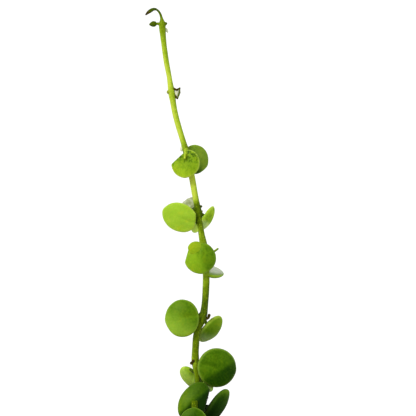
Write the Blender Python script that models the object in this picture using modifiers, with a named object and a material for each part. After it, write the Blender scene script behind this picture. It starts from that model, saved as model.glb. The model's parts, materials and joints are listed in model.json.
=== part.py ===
"""Potted string of nickels: a plain clay pot of bark mix, one long climbing shoot and six low shoots.

Metres, +Z up. The pot stands on z = 0 with its axis on the Z axis, and its front is towards -Y.
"""

import math
import random
from collections import namedtuple

import bmesh
import bpy
from mathutils import Vector, noise

MM = 0.001
GAP = 0.3 * MM
WELD = 1e-6

# Pot: a turned clay flowerpot with a collar, standing flat on its base.
POT_HEIGHT = 80 * MM
POT_RIM_RADIUS = 45 * MM
POT_COLLAR_HEIGHT = 18 * MM
POT_COLLAR_TAPER = 1.0 * MM
POT_SHOULDER_RADIUS = 40.5 * MM
POT_BASE_RADIUS = 30 * MM
POT_WALL = 4.5 * MM
POT_FLOOR = 6 * MM
POT_EDGE = 1.2 * MM
POT_INSIDE_DRAFT = 0.75 * MM
POT_SIDES = 48
DRAIN_HOLES = 4
DRAIN_RADIUS = 3.5 * MM
DRAIN_SIDES = 16
DRAIN_CIRCLE = 17 * MM

# Mix: fills the pot to a little below the rim.
MIX_TOP = 70 * MM
MIX_LUMP = 1.1 * MM
MIX_LUMP_SIZE = 9 * MM
MIX_CROWN = 1.5 * MM
MIX_SIDES = 36
MIX_RINGS = 8
HOLE_GAP = 0.38 * MM
HOLE_REACH = 5 * MM

# Leaves: thick round blades, more or less notched at the foot and faintly pointed at the tip.
BLADE_THICKNESS = 0.2
BLADE_FULLNESS = 0.75
NOTCH_WIDTH = 0.34
TIP_RISE = 0.05
TIP_WIDTH = 0.22
TEAR_PULL = 0.92
STALK_RADIUS = 0.5 * MM
STALK_SINK = 1.3 * MM
BLADE_GRID = (14, 6)
SMALL_BLADE_GRID = (8, 4)
SMALL_BLADE = 5
LOW_BLADE_GRID = (10, 4)

# Stems: the rings of a stem are so many of its radii apart.
LONG_STEM_STEP = 3.4
LOW_STEM_STEP = 5.0
CURVE_STEPS = 8
NODE_SWELL = 0.22
NODE_SPREAD = 2.2 * MM

Leaf = namedtuple("Leaf", "foot middle face tip length width cup notch torn")
Stop = namedtuple("Stop", "x y height radius")
Blade = namedtuple("Blade", "node offset face tip length width cup notch torn", defaults=(0.05, None))
Spur = namedtuple("Spur", "points radius end_radius")
LowShoot = namedtuple("LowShoot", "name bearing bend route leaf_size seed")

# Centreline of the long shoot in mm: x, y, height above the mix, and radius of the stem.
LONG_SHOOT = (
    Stop(0.3, 0.0, -12.0, 0.95),
    Stop(0.3, 0.0, -5.0, 1.0),
    Stop(0.3, 0.0, 1.0, 1.0),
    Stop(0.5, -0.3, 12.7, 1.0),
    Stop(-0.1, -0.8, 24.9, 1.0),
    Stop(-1.1, -0.6, 34.2, 1.0),
    Stop(-0.8, 0.3, 41.5, 1.0),
    Stop(-1.5, 0.6, 47.6, 1.0),
    Stop(-1.4, 0.4, 52.7, 1.0),
    Stop(-0.9, 0.1, 57.2, 0.95),
    Stop(0.9, 0.0, 61.7, 0.95),
    Stop(1.4, 0.2, 66.8, 0.88),
    Stop(1.9, 0.8, 74.2, 0.88),
    Stop(1.8, 1.2, 80.6, 0.9),
    Stop(1.3, 1.0, 85.0, 0.92),
    Stop(0.45, 0.6, 89.5, 0.92),
    Stop(-0.55, 0.4, 95.3, 0.95),
    Stop(-1.4, 0.2, 100.4, 0.9),
    Stop(-2.7, 0.1, 107.0, 0.88),
    Stop(-4.4, 0.3, 114.5, 0.9),
    Stop(-5.7, 0.6, 118.6, 0.92),
    Stop(-7.85, 0.9, 126.0, 0.95),
    Stop(-9.1, 0.9, 133.5, 0.95),
    Stop(-9.9, 0.8, 138.8, 0.85),
    Stop(-10.8, 0.6, 143.1, 0.85),
    Stop(-11.5, 0.5, 148.7, 0.8),
    Stop(-12.0, 0.3, 153.4, 0.95),
    Stop(-12.1, 0.2, 155.6, 0.95),
    Stop(-12.2, 0.1, 157.6, 0.5),
    Stop(-12.8, 0.0, 159.2, 0.4),
    Stop(-13.7, -0.2, 160.1, 0.38),
    Stop(-14.8, -0.4, 160.2, 0.5),
    Stop(-15.9, -0.6, 159.7, 0.58),
    Stop(-16.7, -0.8, 159.1, 0.42),
    Stop(-17.4, -1.0, 158.4, 0.15),
)
LONG_SHOOT_NODES = (12.7, 24.9, 34.2, 47.6, 61.7, 85.0, 95.3, 114.5, 133.5)

# Leaves of the long shoot in mm. The node is a height above the mix, the offset runs from the stem there to
# the middle of the blade, and the face is the upper side's (azimuth, elevation): 0, 0 looks to the front.
# A torn leaf has lost what lies past a line: its angle from the tip in degrees, and its share of the blade.
LONG_SHOOT_LEAVES = (
    Blade(12.7, (-6.2, -1.0, 1.6), (-30, 55), (-1, 0, 0.2), 10.4, 11.0, -0.08),
    Blade(12.7, (6.3, 1.4, 1.2), (40, 50), (1, 0.2, 0.2), 10.8, 11.4, -0.08),
    Blade(24.9, (-1.3, -5.7, 3.9), (-6, 8), (0.1, 0, 1), 8.4, 8.4, -0.1),
    Blade(24.9, (1.8, 6.4, 0.6), (165, 40), (0.1, 1, 0.3), 10.6, 11.0, -0.1),
    Blade(34.2, (-1.0, -2.6, 0.95), (-8, 14), (0.66, 0, 0.75), 11.8, 9.8, -0.06),
    Blade(34.2, (7.1, 0.9, -0.9), (-113, 40), (0.6, 0.75, 0.3), 11.0, 11.6, 0.2),
    Blade(47.6, (6.9, -1.5, -2.1), (12, -2), (1, 0, -0.2), 12.4, 12.3, -0.1, 0.0),
    Blade(47.6, (-0.8, 5.4, -6.9), (134, 42), (0.04, 0.89, -0.46), 10.8, 11.4, 0.14),
    Blade(61.7, (-6.6, -1.8, -0.3), (-12, 6), (-1, 0, -0.1), 10.9, 11.8, -0.12),
    Blade(61.7, (3.3, 4.0, -4.5), (-115, 34), (0.3, 0.85, -0.43), 10.2, 10.6, 0.22),
    Blade(85.0, (-1.05, -3.2, -4.3), (2, 8), (0.1, 0, -1), 10.2, 10.1, -0.1),
    Blade(85.0, (1.8, 2.6, -8.9), (40, 66), (0.8, 0.3, -0.5), 8.6, 9.0, 0.06),
    Blade(95.3, (-6.1, -1.6, -1.6), (-8, 4), (-1, 0, -0.05), 10.6, 9.6, -0.05),
    Blade(95.3, (2.6, 3.5, -2.8), (-111, 36), (0.4, 0.85, -0.3), 9.6, 10.5, 0.2),
    Blade(95.3, (-3.0, 1.3, 2.3), (-35, 20), (-0.3, 0.2, 1), 4.8, 3.8, 0.1),
    Blade(114.5, (-0.1, -2.8, -3.6), (-14, 8), (-0.05, 0, -1), 9.3, 9.3, 0.06, 0.05, (-135, 0.62)),
    Blade(114.5, (2.8, 2.6, -2.3), (24, 0), (0.8, 0.3, -0.4), 9.2, 9.2, -0.08),
    Blade(133.5, (1.7, -0.3, -0.1), (30, 0), (1, 0, 0.1), 1.8, 2.4, 0.0),
    Blade(155.6, (-2.6, -0.3, 0.1), (0, 10), (-1, 0, -0.1), 3.0, 1.7, 0.0),
    Blade(155.6, (1.0, 0.1, 0.2), (30, 20), (1, 0, 0.3), 1.7, 1.4, 0.0),
)
# The foot of one leaf is folded over its upper side.
FOLDED_LOBE = Blade(85.0, (-2.9, -3.4, -1.35), (-16, 20), (-0.9, 0, 0.1), 6.3, 4.9, -0.12)

# Rootlets, scars and side buds of the long shoot, as points in mm like those of its centreline.
LONG_SHOOT_SPURS = (
    Spur(((-9.1, 0.9, 133.7), (-7.9, 0.6, 134.3), (-6.5, 0.4, 134.8)), 0.5, 0.2),
    Spur(((-9.1, 0.9, 133.0), (-8.0, 0.5, 132.5), (-7.3, 0.4, 131.7)), 0.5, 0.2),
    Spur(((-9.1, 0.9, 133.6), (-10.3, 0.8, 133.7)), 0.7, 0.35),
    Spur(((1.4, 1.2, 84.6), (3.6, 1.9, 82.4), (4.9, 1.7, 82.9), (5.8, 1.5, 83.6)), 0.42, 0.14),
    Spur(((1.0, 0.0, 62.0), (2.2, -0.2, 61.6), (2.9, -0.3, 62.3)), 0.55, 0.4),
    Spur(((-1.5, 0.6, 47.8), (-2.6, 0.2, 47.2)), 0.6, 0.45),
    Spur(((-0.5, 0.4, 96.9), (0.6, 0.1, 97.1)), 0.5, 0.35),
    Spur(((-1.0, -0.4, 35.0), (1.5, -1.3, 36.2), (2.8, -1.5, 35.9)), 0.5, 0.25),
    Spur(((-1.1, -0.6, 31.0), (-1.7, -3.4, 32.6), (-1.85, -4.7, 34.9)), 1.1, 1.0),
)

# Routes of the low shoots in mm: distance from the pot's axis and height above the mix.
LONG_TRAIL = ((24, -12), (24, 1), (26, 7), (32, 12.5), (41, 15.5), (49, 13), (54.5, 3), (56.5, -11), (57, -25))
SHORT_TRAIL = ((23, -12), (23, 1), (25, 8), (31, 14), (40, 16), (48, 14), (53.5, 6), (56, -5))
RISING = ((18, -12), (18, 1), (19, 8), (23, 16), (29, 21.5), (35, 23.5))

# Bearings in degrees from +X, towards +Y; a shoot turns by its bend on its way out.
LOW_SHOOTS = (
    LowShoot("trailing_shoot_front_left", 232, 9, LONG_TRAIL, 9.6, 11),
    LowShoot("trailing_shoot_right", 338, -8, SHORT_TRAIL, 9.2, 23),
    LowShoot("trailing_shoot_back", 102, -10, LONG_TRAIL, 9.4, 59),
    LowShoot("young_shoot_front_right", 286, 10, RISING, 8.6, 35),
    LowShoot("young_shoot_back_right", 48, 8, RISING, 9.0, 47),
    LowShoot("young_shoot_left", 166, -8, RISING, 8.8, 71),
)
LOW_STEM_RADIUS = 0.85 * MM
LOW_TIP_RADIUS = 0.35 * MM
LOW_FIRST_LEAF = 20 * MM
LOW_LAST_LEAF = 1.5 * MM
LOW_LEAF_STEP = 8.2 * MM
LOW_LEAF_STALK = 1.1 * MM
LOW_LEAF_LIFT = 0.5 * MM
LOW_YOUNG_SPAN = 22 * MM
LOW_YOUNGEST = 0.35
LOW_DOME = -0.08
LOW_NOTCH = 0.08

TERRACOTTA = ("terracotta", (0.62, 0.27, 0.15), 0.85)
BARK_MIX = ("bark_mix", (0.09, 0.05, 0.03), 0.95)
PLANT_GREEN = ("plant_green", (0.22, 0.42, 0.05), 0.4)


def material(name, colour, roughness):
    """The named material, made once."""
    made = bpy.data.materials.get(name)
    if made is None:
        made = bpy.data.materials.new(name)
        made.use_nodes = True
        shader = made.node_tree.nodes["Principled BSDF"]
        shader.inputs["Base Color"].default_value = (*colour, 1)
        shader.inputs["Roughness"].default_value = roughness
        shader.inputs["Metallic"].default_value = 0
    return made


def linked(name, mesh, collection):
    obj = bpy.data.objects.new(name, mesh)
    collection.objects.link(obj)
    return obj


def finish(obj, look):
    """Smooth faces, sharp edges past 40 degrees, and one material."""
    obj.data.materials.clear()
    obj.data.materials.append(material(*look))
    obj.data.shade_smooth()
    obj.data.set_sharp_from_angle(angle=math.radians(40))


def new_collection(name):
    made = bpy.data.collections.new(name)
    bpy.context.scene.collection.children.link(made)
    return made


def as_mesh(obj, name, collection):
    """Replaces a curve or a modified mesh with the plain mesh that it evaluates to."""
    bpy.context.view_layer.update()
    graph = bpy.context.evaluated_depsgraph_get()
    mesh = bpy.data.meshes.new_from_object(obj.evaluated_get(graph))
    welded = bmesh.new()
    welded.from_mesh(mesh)
    bmesh.ops.remove_doubles(welded, verts=welded.verts, dist=WELD)
    welded.to_mesh(mesh)
    welded.free()
    matrix = obj.matrix_world.copy()
    bpy.data.objects.remove(obj)
    made = linked(name, mesh, collection)
    made.matrix_world = matrix
    return made


def facing(azimuth, elevation):
    """Unit vector for degrees: azimuth 0 is the front, 90 the right; elevation 90 is up."""
    a, e = math.radians(azimuth), math.radians(elevation)
    return Vector((math.sin(a) * math.cos(e), -math.cos(a) * math.cos(e), math.sin(e)))


def smooth_route(stops, step):
    """(point, radius) pairs a step of radii apart on a smooth curve through (point, radius) stops."""
    fine = []
    last = len(stops) - 1
    for i in range(last):
        ends = [stops[max(i - 1, 0)], stops[i], stops[i + 1], stops[min(i + 2, last)]]
        (p0, _), (p1, r1), (p2, r2), (p3, _) = ends
        for k in range(CURVE_STEPS):
            t = k / CURVE_STEPS
            point = 0.5 * (
                2 * p1
                + (p2 - p0) * t
                + (2 * p0 - 5 * p1 + 4 * p2 - p3) * t * t
                + (3 * p1 - p0 - 3 * p2 + p3) * t * t * t
            )
            fine.append((point, r1 + (r2 - r1) * t))
    fine.append(stops[-1])
    along = [0.0]
    for (a, start), (b, end) in zip(fine, fine[1:]):
        along.append(along[-1] + (b - a).length * 2 / (start + end))
    pieces = max(2, round(along[-1] / step))
    route = []
    k = 0
    for i in range(pieces + 1):
        s = along[-1] * i / pieces
        while k < len(fine) - 2 and along[k + 1] < s:
            k += 1
        t = (s - along[k]) / (along[k + 1] - along[k])
        route.append((fine[k][0].lerp(fine[k + 1][0], t), fine[k][1] + (fine[k + 1][1] - fine[k][1]) * t))
    return route


def tube(name, route, collection, extra=0.0, resolution=2):
    """A closed round stem along (point, radius) pairs, made thicker all round by extra."""
    curve = bpy.data.curves.new(name, "CURVE")
    curve.dimensions = "3D"
    curve.bevel_depth = 1.0
    curve.bevel_resolution = resolution
    curve.use_fill_caps = True
    spline = curve.splines.new("POLY")
    spline.points.add(len(route) - 1)
    for point, (place, radius) in zip(spline.points, route):
        point.co = (*place, 1)
        point.radius = radius + extra
    return as_mesh(linked(name + "_curve", curve, collection), name, collection)


def outline(angle, notch_depth):
    """Distance from a blade's middle to its edge, as a share of half its length; angle 0 points to the tip."""
    from_foot = math.pi - abs(angle)
    notch = notch_depth * math.exp(-((from_foot / NOTCH_WIDTH) ** 2))
    rise = TIP_RISE * math.exp(-((angle / TIP_WIDTH) ** 2))
    return 1 - notch + rise


def torn_back(u, v, torn):
    """A point of a torn blade past the line of the tear is drawn back to it."""
    if torn is None:
        return u, v
    angle, share = math.radians(torn[0]), torn[1]
    past = u * math.cos(angle) + v * math.sin(angle) - share
    if past > 0:
        u -= TEAR_PULL * past * math.cos(angle)
        v -= TEAR_PULL * past * math.sin(angle)
    return u, v


def leaf_axes(leaf):
    """Unit vectors of a leaf: from foot to tip, across, and out of its upper side."""
    face = leaf.face.normalized()
    along = (leaf.tip - face * leaf.tip.dot(face)).normalized()
    return along, face.cross(along), face


def blade(name, leaf, collection, segments, rings):
    """A round leaf blade, shaped from a sphere: thick, cupped or domed, notched at its foot."""
    along, across, face = leaf_axes(leaf)
    half_thickness = BLADE_THICKNESS * leaf.length / 2
    shaped = bmesh.new()
    bmesh.ops.create_uvsphere(shaped, u_segments=segments, v_segments=rings, radius=1)
    for vertex in shaped.verts:
        x, y, z = vertex.co
        reach = math.hypot(x, y)
        angle = math.atan2(y, x)
        swell = math.copysign(abs(z) ** BLADE_FULLNESS, z) if abs(z) > WELD else 0.0
        edge = reach * outline(angle, leaf.notch)
        u, v = torn_back(edge * math.cos(angle), edge * math.sin(angle), leaf.torn)
        u *= leaf.length / 2
        v *= leaf.width / 2
        n = swell * half_thickness + leaf.cup * leaf.length / 2 * reach**2
        vertex.co = leaf.middle + along * u + across * v + face * n
    bmesh.ops.recalc_face_normals(shaped, faces=shaped.faces)
    mesh = bpy.data.meshes.new(name)
    shaped.to_mesh(mesh)
    shaped.free()
    return linked(name, mesh, collection)


def leaf_pieces(name, leaf, collection, segments, rings):
    """A leaf's blade, and the short stalk that runs from inside the stem to inside the blade."""
    along, _, face = leaf_axes(leaf)
    foot_share = outline(math.pi, leaf.notch)
    rim = leaf.middle - along * (foot_share * leaf.length / 2)
    rim += face * (leaf.cup * leaf.length / 2 * foot_share**2)
    sink = min(STALK_SINK, leaf.length / 4)
    stalk_end = rim + along * sink
    radius = min(STALK_RADIUS, BLADE_THICKNESS * leaf.length / 3)
    stalk = [(leaf.foot.lerp(rim, 0.05), radius * 1.2), (stalk_end, radius * 0.9)]
    return [
        blade(name, leaf, collection, segments, rings),
        tube(name + "_stalk", stalk, collection, resolution=0),
    ]


def fused(name, stem, pieces, home, look):
    """The stem with all its leaves and spurs joined on, as one closed body."""
    joined = new_collection(name + "_pieces")
    for piece in pieces:
        for holder in list(piece.users_collection):
            holder.objects.unlink(piece)
        joined.objects.link(piece)
    union = stem.modifiers.new("Union", "BOOLEAN")
    union.operation = "UNION"
    union.operand_type = "COLLECTION"
    union.collection = joined
    union.solver = "EXACT"
    made = as_mesh(stem, name, home)
    for piece in list(joined.objects):
        bpy.data.objects.remove(piece)
    bpy.data.collections.remove(joined)
    finish(made, look)
    return made


def turned(name, profile, steps, home):
    """A solid of revolution about Z from (radius, height) points that run down its outer side."""
    drawn = bmesh.new()
    points = [drawn.verts.new((radius, 0, height)) for radius, height in profile]
    for a, b in zip(points, points[1:]):
        drawn.edges.new((a, b))
    mesh = bpy.data.meshes.new(name)
    drawn.to_mesh(mesh)
    drawn.free()
    obj = linked(name, mesh, home)
    screw = obj.modifiers.new("Turn", "SCREW")
    screw.axis = "Z"
    screw.steps = screw.render_steps = steps
    screw.use_merge_vertices = True
    screw.merge_threshold = WELD
    return as_mesh(obj, name, home)


def pot_inner_radius(height):
    """The inside of the pot is one straight taper from its floor to its rim."""
    share = (height - POT_FLOOR) / (POT_HEIGHT - POT_FLOOR)
    floor_radius = POT_BASE_RADIUS - POT_WALL + POT_INSIDE_DRAFT
    rim_radius = POT_RIM_RADIUS - POT_WALL - POT_INSIDE_DRAFT
    return floor_radius + (rim_radius - floor_radius) * share


def make_pot(home, cutters):
    collar_foot = POT_HEIGHT - POT_COLLAR_HEIGHT
    collar_radius = POT_RIM_RADIUS - POT_COLLAR_TAPER
    inner_rim = pot_inner_radius(POT_HEIGHT)
    profile = [
        (0, POT_FLOOR),
        (pot_inner_radius(POT_FLOOR) - POT_EDGE, POT_FLOOR),
        (pot_inner_radius(POT_FLOOR + POT_EDGE), POT_FLOOR + POT_EDGE),
        (inner_rim, POT_HEIGHT - POT_EDGE),
        (inner_rim + POT_EDGE, POT_HEIGHT),
        (POT_RIM_RADIUS - POT_EDGE, POT_HEIGHT),
        (POT_RIM_RADIUS, POT_HEIGHT - POT_EDGE),
        (collar_radius, collar_foot + POT_EDGE),
        (collar_radius - POT_EDGE, collar_foot),
        (POT_SHOULDER_RADIUS, collar_foot - POT_EDGE / 2),
        (POT_BASE_RADIUS, POT_EDGE),
        (POT_BASE_RADIUS - POT_EDGE, 0),
        (0, 0),
    ]
    pot = turned("pot", profile, POT_SIDES, home)
    for i in range(DRAIN_HOLES):
        angle = math.tau * (i + 0.5) / DRAIN_HOLES
        bpy.ops.mesh.primitive_cylinder_add(
            vertices=DRAIN_SIDES,
            radius=DRAIN_RADIUS,
            depth=3 * POT_FLOOR,
            location=(DRAIN_CIRCLE * math.cos(angle), DRAIN_CIRCLE * math.sin(angle), POT_FLOOR / 2),
        )
        move_to(bpy.context.object, f"drain_cutter_{i + 1}", cutters)
    cut(pot, cutters)
    finish(pot, TERRACOTTA)
    return pot


def move_to(obj, name, collection):
    obj.name = name
    for holder in list(obj.users_collection):
        holder.objects.unlink(obj)
    collection.objects.link(obj)


def cut(obj, cutters):
    """A Boolean that takes every cutter in the collection away from the object."""
    for cutter in cutters.objects:
        cutter.hide_render = True
        cutter.display_type = "WIRE"
    difference = obj.modifiers.new("Cut", "BOOLEAN")
    difference.operation = "DIFFERENCE"
    difference.operand_type = "COLLECTION"
    difference.collection = cutters
    return difference


def mix_surface(x, y):
    """Height of the mix: a low crown towards the middle, with lumps where the bark lies."""
    reach = min(1.0, math.hypot(x, y) / pot_inner_radius(MIX_TOP))
    lumps = noise.noise(Vector((x, y, 0)) / MIX_LUMP_SIZE)
    lumps += 0.5 * noise.noise(Vector((x, y, MIX_TOP)) / MIX_LUMP_SIZE * 2.1)
    return MIX_TOP + MIX_CROWN * (1 - reach**2) + MIX_LUMP * lumps * (1 - reach**6)


def make_mix(home, cutters):
    """The mix fills the pot's taper, with a lumpy top and a plain hole for each stem."""
    side = POT_FLOOR + GAP + POT_EDGE
    top_radius = pot_inner_radius(MIX_TOP) - GAP
    rings = [(top_radius * i / MIX_RINGS, MIX_TOP) for i in range(MIX_RINGS + 1)]
    profile = rings + [
        (pot_inner_radius(side) - GAP, side),
        (pot_inner_radius(POT_FLOOR) - POT_EDGE - GAP, POT_FLOOR + GAP),
        (0, POT_FLOOR + GAP),
    ]
    mix = turned("bark_mix", profile, MIX_SIDES, home)
    for vertex in mix.data.vertices:
        if vertex.co.z > MIX_TOP - WELD:
            vertex.co.z = mix_surface(vertex.co.x, vertex.co.y)
    cut(mix, cutters)
    finish(mix, BARK_MIX)
    return mix


def stem_hole(name, route, cutters):
    """The cutter of a stem's hole: the buried stretch of the stem, a gap wider and a gap deeper."""
    buried = [stop for stop in route if stop[0].z < MIX_TOP + HOLE_REACH]
    foot, radius = buried[0]
    deeper = (foot - Vector((0, 0, HOLE_GAP)), radius)
    sides = 2 if radius > LOW_STEM_RADIUS else 1
    tube(name, [deeper] + buried[1:], cutters, extra=HOLE_GAP, resolution=sides)


def above_mix(x, y, height):
    """A point given in mm from the pot's axis and above the mix, in metres."""
    return Vector((x * MM, y * MM, MIX_TOP + height * MM))


def long_shoot_route():
    """The climbing stem's centreline, swollen at its nodes."""
    stops = [(above_mix(s.x, s.y, s.height), s.radius * MM) for s in LONG_SHOOT]
    route = []
    for place, radius in smooth_route(stops, LONG_STEM_STEP):
        near = min(abs(place.z - MIX_TOP - node * MM) for node in LONG_SHOOT_NODES)
        swell = NODE_SWELL * math.exp(-((near / NODE_SPREAD) ** 2))
        route.append((place, radius * (1 + swell)))
    return route


def at_height(route, height):
    """The point of an upright route at a height above the mix, in mm."""
    level = MIX_TOP + height * MM
    for (a, _), (b, _) in zip(route, route[1:]):
        if a.z <= level <= b.z:
            return a.lerp(b, (level - a.z) / (b.z - a.z))
    raise ValueError(f"the stem never reaches {height} mm")


def grown(route, spec):
    """The leaf that a line of the long shoot's table describes, in metres."""
    foot = at_height(route, spec.node)
    offset = Vector(spec.offset) * MM
    return Leaf(
        foot,
        foot + offset,
        facing(*spec.face),
        Vector(spec.tip),
        spec.length * MM,
        spec.width * MM,
        spec.cup,
        spec.notch,
        spec.torn,
    )


def spur_route(spur):
    """A spur tapers from its root, inside the stem, to its end."""
    last = len(spur.points) - 1
    stops = []
    for i, point in enumerate(spur.points):
        radius = spur.radius + (spur.end_radius - spur.radius) * i / last
        stops.append((above_mix(*point), radius * MM))
    return stops


def make_long_shoot(home, workshop, holes):
    route = long_shoot_route()
    stem_hole("hole_long_shoot", route, holes)
    stem = tube("long_stem", route, workshop)
    pieces = []
    for i, spec in enumerate(LONG_SHOOT_LEAVES):
        grid = BLADE_GRID if spec.length > SMALL_BLADE else SMALL_BLADE_GRID
        pieces += leaf_pieces(f"leaf_{i}", grown(route, spec), workshop, *grid)
    pieces.append(blade("folded_lobe", grown(route, FOLDED_LOBE), workshop, *LOW_BLADE_GRID))
    for i, spur in enumerate(LONG_SHOOT_SPURS):
        pieces.append(tube(f"spur_{i}", spur_route(spur), workshop, resolution=1))
    return fused("climbing_shoot", stem, pieces, home, PLANT_GREEN)


def low_route(shoot):
    """A low shoot leaves the mix upright, then follows its bearing, which bends as it goes out."""
    last = len(shoot.route) - 1
    stops = []
    for i, (reach, height) in enumerate(shoot.route):
        share = (i / last) ** 2
        bearing = math.radians(shoot.bearing + shoot.bend * share)
        place = above_mix(reach * math.cos(bearing), reach * math.sin(bearing), height)
        stops.append((place, LOW_STEM_RADIUS + (LOW_TIP_RADIUS - LOW_STEM_RADIUS) * share))
    return smooth_route(stops, LOW_STEM_STEP)


def place_along(route, along, distance):
    """The point at a distance along a route, and the route's direction there."""
    k = 0
    while k < len(route) - 2 and along[k + 1] < distance:
        k += 1
    start, end = route[k][0], route[k + 1][0]
    share = (distance - along[k]) / (along[k + 1] - along[k])
    return start.lerp(end, share), (end - start).normalized()


def low_leaves(shoot, route):
    """Opposite pairs along a low shoot, smaller and closer together towards its growing tip."""
    draw = random.Random(shoot.seed)
    along = [0.0]
    for (a, _), (b, _) in zip(route, route[1:]):
        along.append(along[-1] + (b - a).length)
    leaves = []
    distance = LOW_FIRST_LEAF
    while distance < along[-1] - LOW_LAST_LEAF:
        foot, run = place_along(route, along, distance)
        out = Vector((foot.x, foot.y, 0)).normalized() + Vector((0, 0, 1))
        out = (out - run * out.dot(run)).normalized()
        side = run.cross(out)
        age = min(1.0, (along[-1] - distance) / LOW_YOUNG_SPAN)
        size = shoot.leaf_size * MM * (LOW_YOUNGEST + (1 - LOW_YOUNGEST) * age)
        for hand in (-1, 1):
            length = size * draw.uniform(0.9, 1.08)
            tip = side * hand + run * draw.uniform(0.1, 0.45) + out * draw.uniform(0.0, 0.3)
            tip.normalize()
            face = out - side * hand * draw.uniform(-0.1, 0.35) + run * draw.uniform(-0.3, 0.2)
            middle = foot + tip * (length / 2 + LOW_LEAF_STALK) + out * LOW_LEAF_LIFT
            width = length * draw.uniform(0.98, 1.1)
            leaves.append(Leaf(foot, middle, face, tip, length, width, LOW_DOME, LOW_NOTCH, None))
        distance += LOW_LEAF_STEP * (0.6 + 0.4 * age)
    return leaves


def make_low_shoot(shoot, home, workshop, holes):
    route = low_route(shoot)
    stem_hole("hole_" + shoot.name, route, holes)
    stem = tube(shoot.name + "_stem", route, workshop, resolution=1)
    pieces = []
    for i, leaf in enumerate(low_leaves(shoot, route)):
        pieces += leaf_pieces(f"{shoot.name}_{i}", leaf, workshop, *LOW_BLADE_GRID)
    return fused(shoot.name, stem, pieces, home, PLANT_GREEN)


def main():
    for obj in list(bpy.data.objects):
        bpy.data.objects.remove(obj)
    home = new_collection("Potted string of nickels")
    drains = new_collection("Drain cutters")
    holes = new_collection("Stem hole cutters")
    workshop = new_collection("Workshop")
    make_pot(home, drains)
    make_long_shoot(home, workshop, holes)
    for shoot in LOW_SHOOTS:
        make_low_shoot(shoot, home, workshop, holes)
    make_mix(home, holes)
    bpy.data.collections.remove(workshop)


main()
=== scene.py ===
"""Potted string of nickels: one climbing shoot and six low shoots in a clay pot of bark mix.

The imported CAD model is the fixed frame, and every piece here lies where its solid does. Metres, +Z up.
The pot stands on z = 0 with its axis on the Z axis, and its front is towards -Y.
"""

import json
import math
import random
from collections import namedtuple

import bmesh
import bpy
from bpy.props import FloatProperty, FloatVectorProperty, IntProperty, PointerProperty
from mathutils import Matrix, Vector, noise

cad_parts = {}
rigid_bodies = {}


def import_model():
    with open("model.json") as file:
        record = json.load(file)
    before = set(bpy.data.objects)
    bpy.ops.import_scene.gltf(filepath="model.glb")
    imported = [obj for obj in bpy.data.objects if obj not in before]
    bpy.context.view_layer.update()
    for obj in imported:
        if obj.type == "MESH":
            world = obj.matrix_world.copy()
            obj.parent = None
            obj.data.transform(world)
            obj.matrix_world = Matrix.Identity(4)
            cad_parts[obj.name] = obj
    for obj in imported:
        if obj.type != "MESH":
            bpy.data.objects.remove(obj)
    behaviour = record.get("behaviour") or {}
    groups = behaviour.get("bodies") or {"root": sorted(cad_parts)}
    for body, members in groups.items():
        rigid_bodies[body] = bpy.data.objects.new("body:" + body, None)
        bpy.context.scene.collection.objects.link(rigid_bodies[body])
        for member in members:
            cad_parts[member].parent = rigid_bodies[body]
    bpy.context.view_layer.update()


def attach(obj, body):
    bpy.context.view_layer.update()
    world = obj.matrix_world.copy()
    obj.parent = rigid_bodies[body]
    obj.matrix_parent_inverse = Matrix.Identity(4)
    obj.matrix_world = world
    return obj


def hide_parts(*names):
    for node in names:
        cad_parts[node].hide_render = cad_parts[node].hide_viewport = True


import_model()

bl_info = {
    "name": "Potted String of Nickels",
    "version": (1, 0, 0),
    "blender": (4, 5, 0),
    "location": "3D View > Sidebar > Nickels",
    "description": "Grows a string of nickels in a clay pot of bark mix",
    "category": "Add Mesh",
}

MM = 0.001
WELD = 1e-6
BODY = "root"

# Pot, as in the CAD model.
POT_HEIGHT = 80 * MM
POT_RIM_RADIUS = 45 * MM
POT_COLLAR_HEIGHT = 18 * MM
POT_COLLAR_TAPER = 1.0 * MM
POT_SHOULDER_RADIUS = 40.5 * MM
POT_BASE_RADIUS = 30 * MM
POT_WALL = 4.5 * MM
POT_FLOOR = 6 * MM
POT_INSIDE_DRAFT = 0.75 * MM
POT_SIDES = 144
POT_RING_STEP = 1.6 * MM
# Throwing rings: the heights between which they show, the waves to a mm of height, how they lean round the
# pot, how uneven they are, and the waves to a metre of that and of their depth.
RING_BAND = (3 * MM, POT_HEIGHT - 2 * MM)
RING_WAVES = 2.1
RING_LEAN = 0.25
RING_UNEVENNESS = 0.8
RING_PATCHES = 60
RING_DEPTH_WAVES = 90
# Angle in degrees past which an edge of the pot is sharp.
POT_SHARP = 50
DRAIN_HOLES = 4
DRAIN_RADIUS = 3.5 * MM
DRAIN_SIDES = 40
DRAIN_CIRCLE = 17 * MM

# Mix, as in the CAD model, with finer lumps.
MIX_TOP = 70 * MM
MIX_LUMP = 1.1 * MM
MIX_LUMP_SIZE = 9 * MM
MIX_CROWN = 1.5 * MM
MIX_SIDES = 132
MIX_RINGS = 44
MIX_GAP = 0.1 * MM
# Height and width of the bevel round its foot.
MIX_FOOT = 2.5 * MM
MIX_FOOT_INSET = 3 * MM
MIX_CRUMB = 0.4 * MM
MIX_CRUMB_SIZE = 2.6 * MM
# Share of the height of the next finer lumps and crumbs, and how many times finer they are.
FINER_LUMPS = (0.5, 2.1)
FINER_CRUMBS = (0.4, 3)

# Chips and grains: how many kinds, their proportions and sizes, how far from the pot's axis they may lie, how
# far they may tilt in radians, and the seeds of their shapes and of their places.
CHIP_KINDS = 7
CHIP_STRETCH = (1.0, 0.62, 0.34)
CHIP_SIZES = (3.2 * MM, 8.0 * MM)
CHIP_ROOM = 34.5 * MM
CHIP_TILT = 0.55
CHIP_SEEDS = (5, 4)
GRIT_KINDS = 5
GRIT_STRETCH = (1.0, 0.85, 0.75)
GRIT_SIZES = (1.3 * MM, 3.0 * MM)
GRIT_ROOM = 37.5 * MM
GRIT_TILT = math.pi
GRIT_SEEDS = (8, 9)
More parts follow.
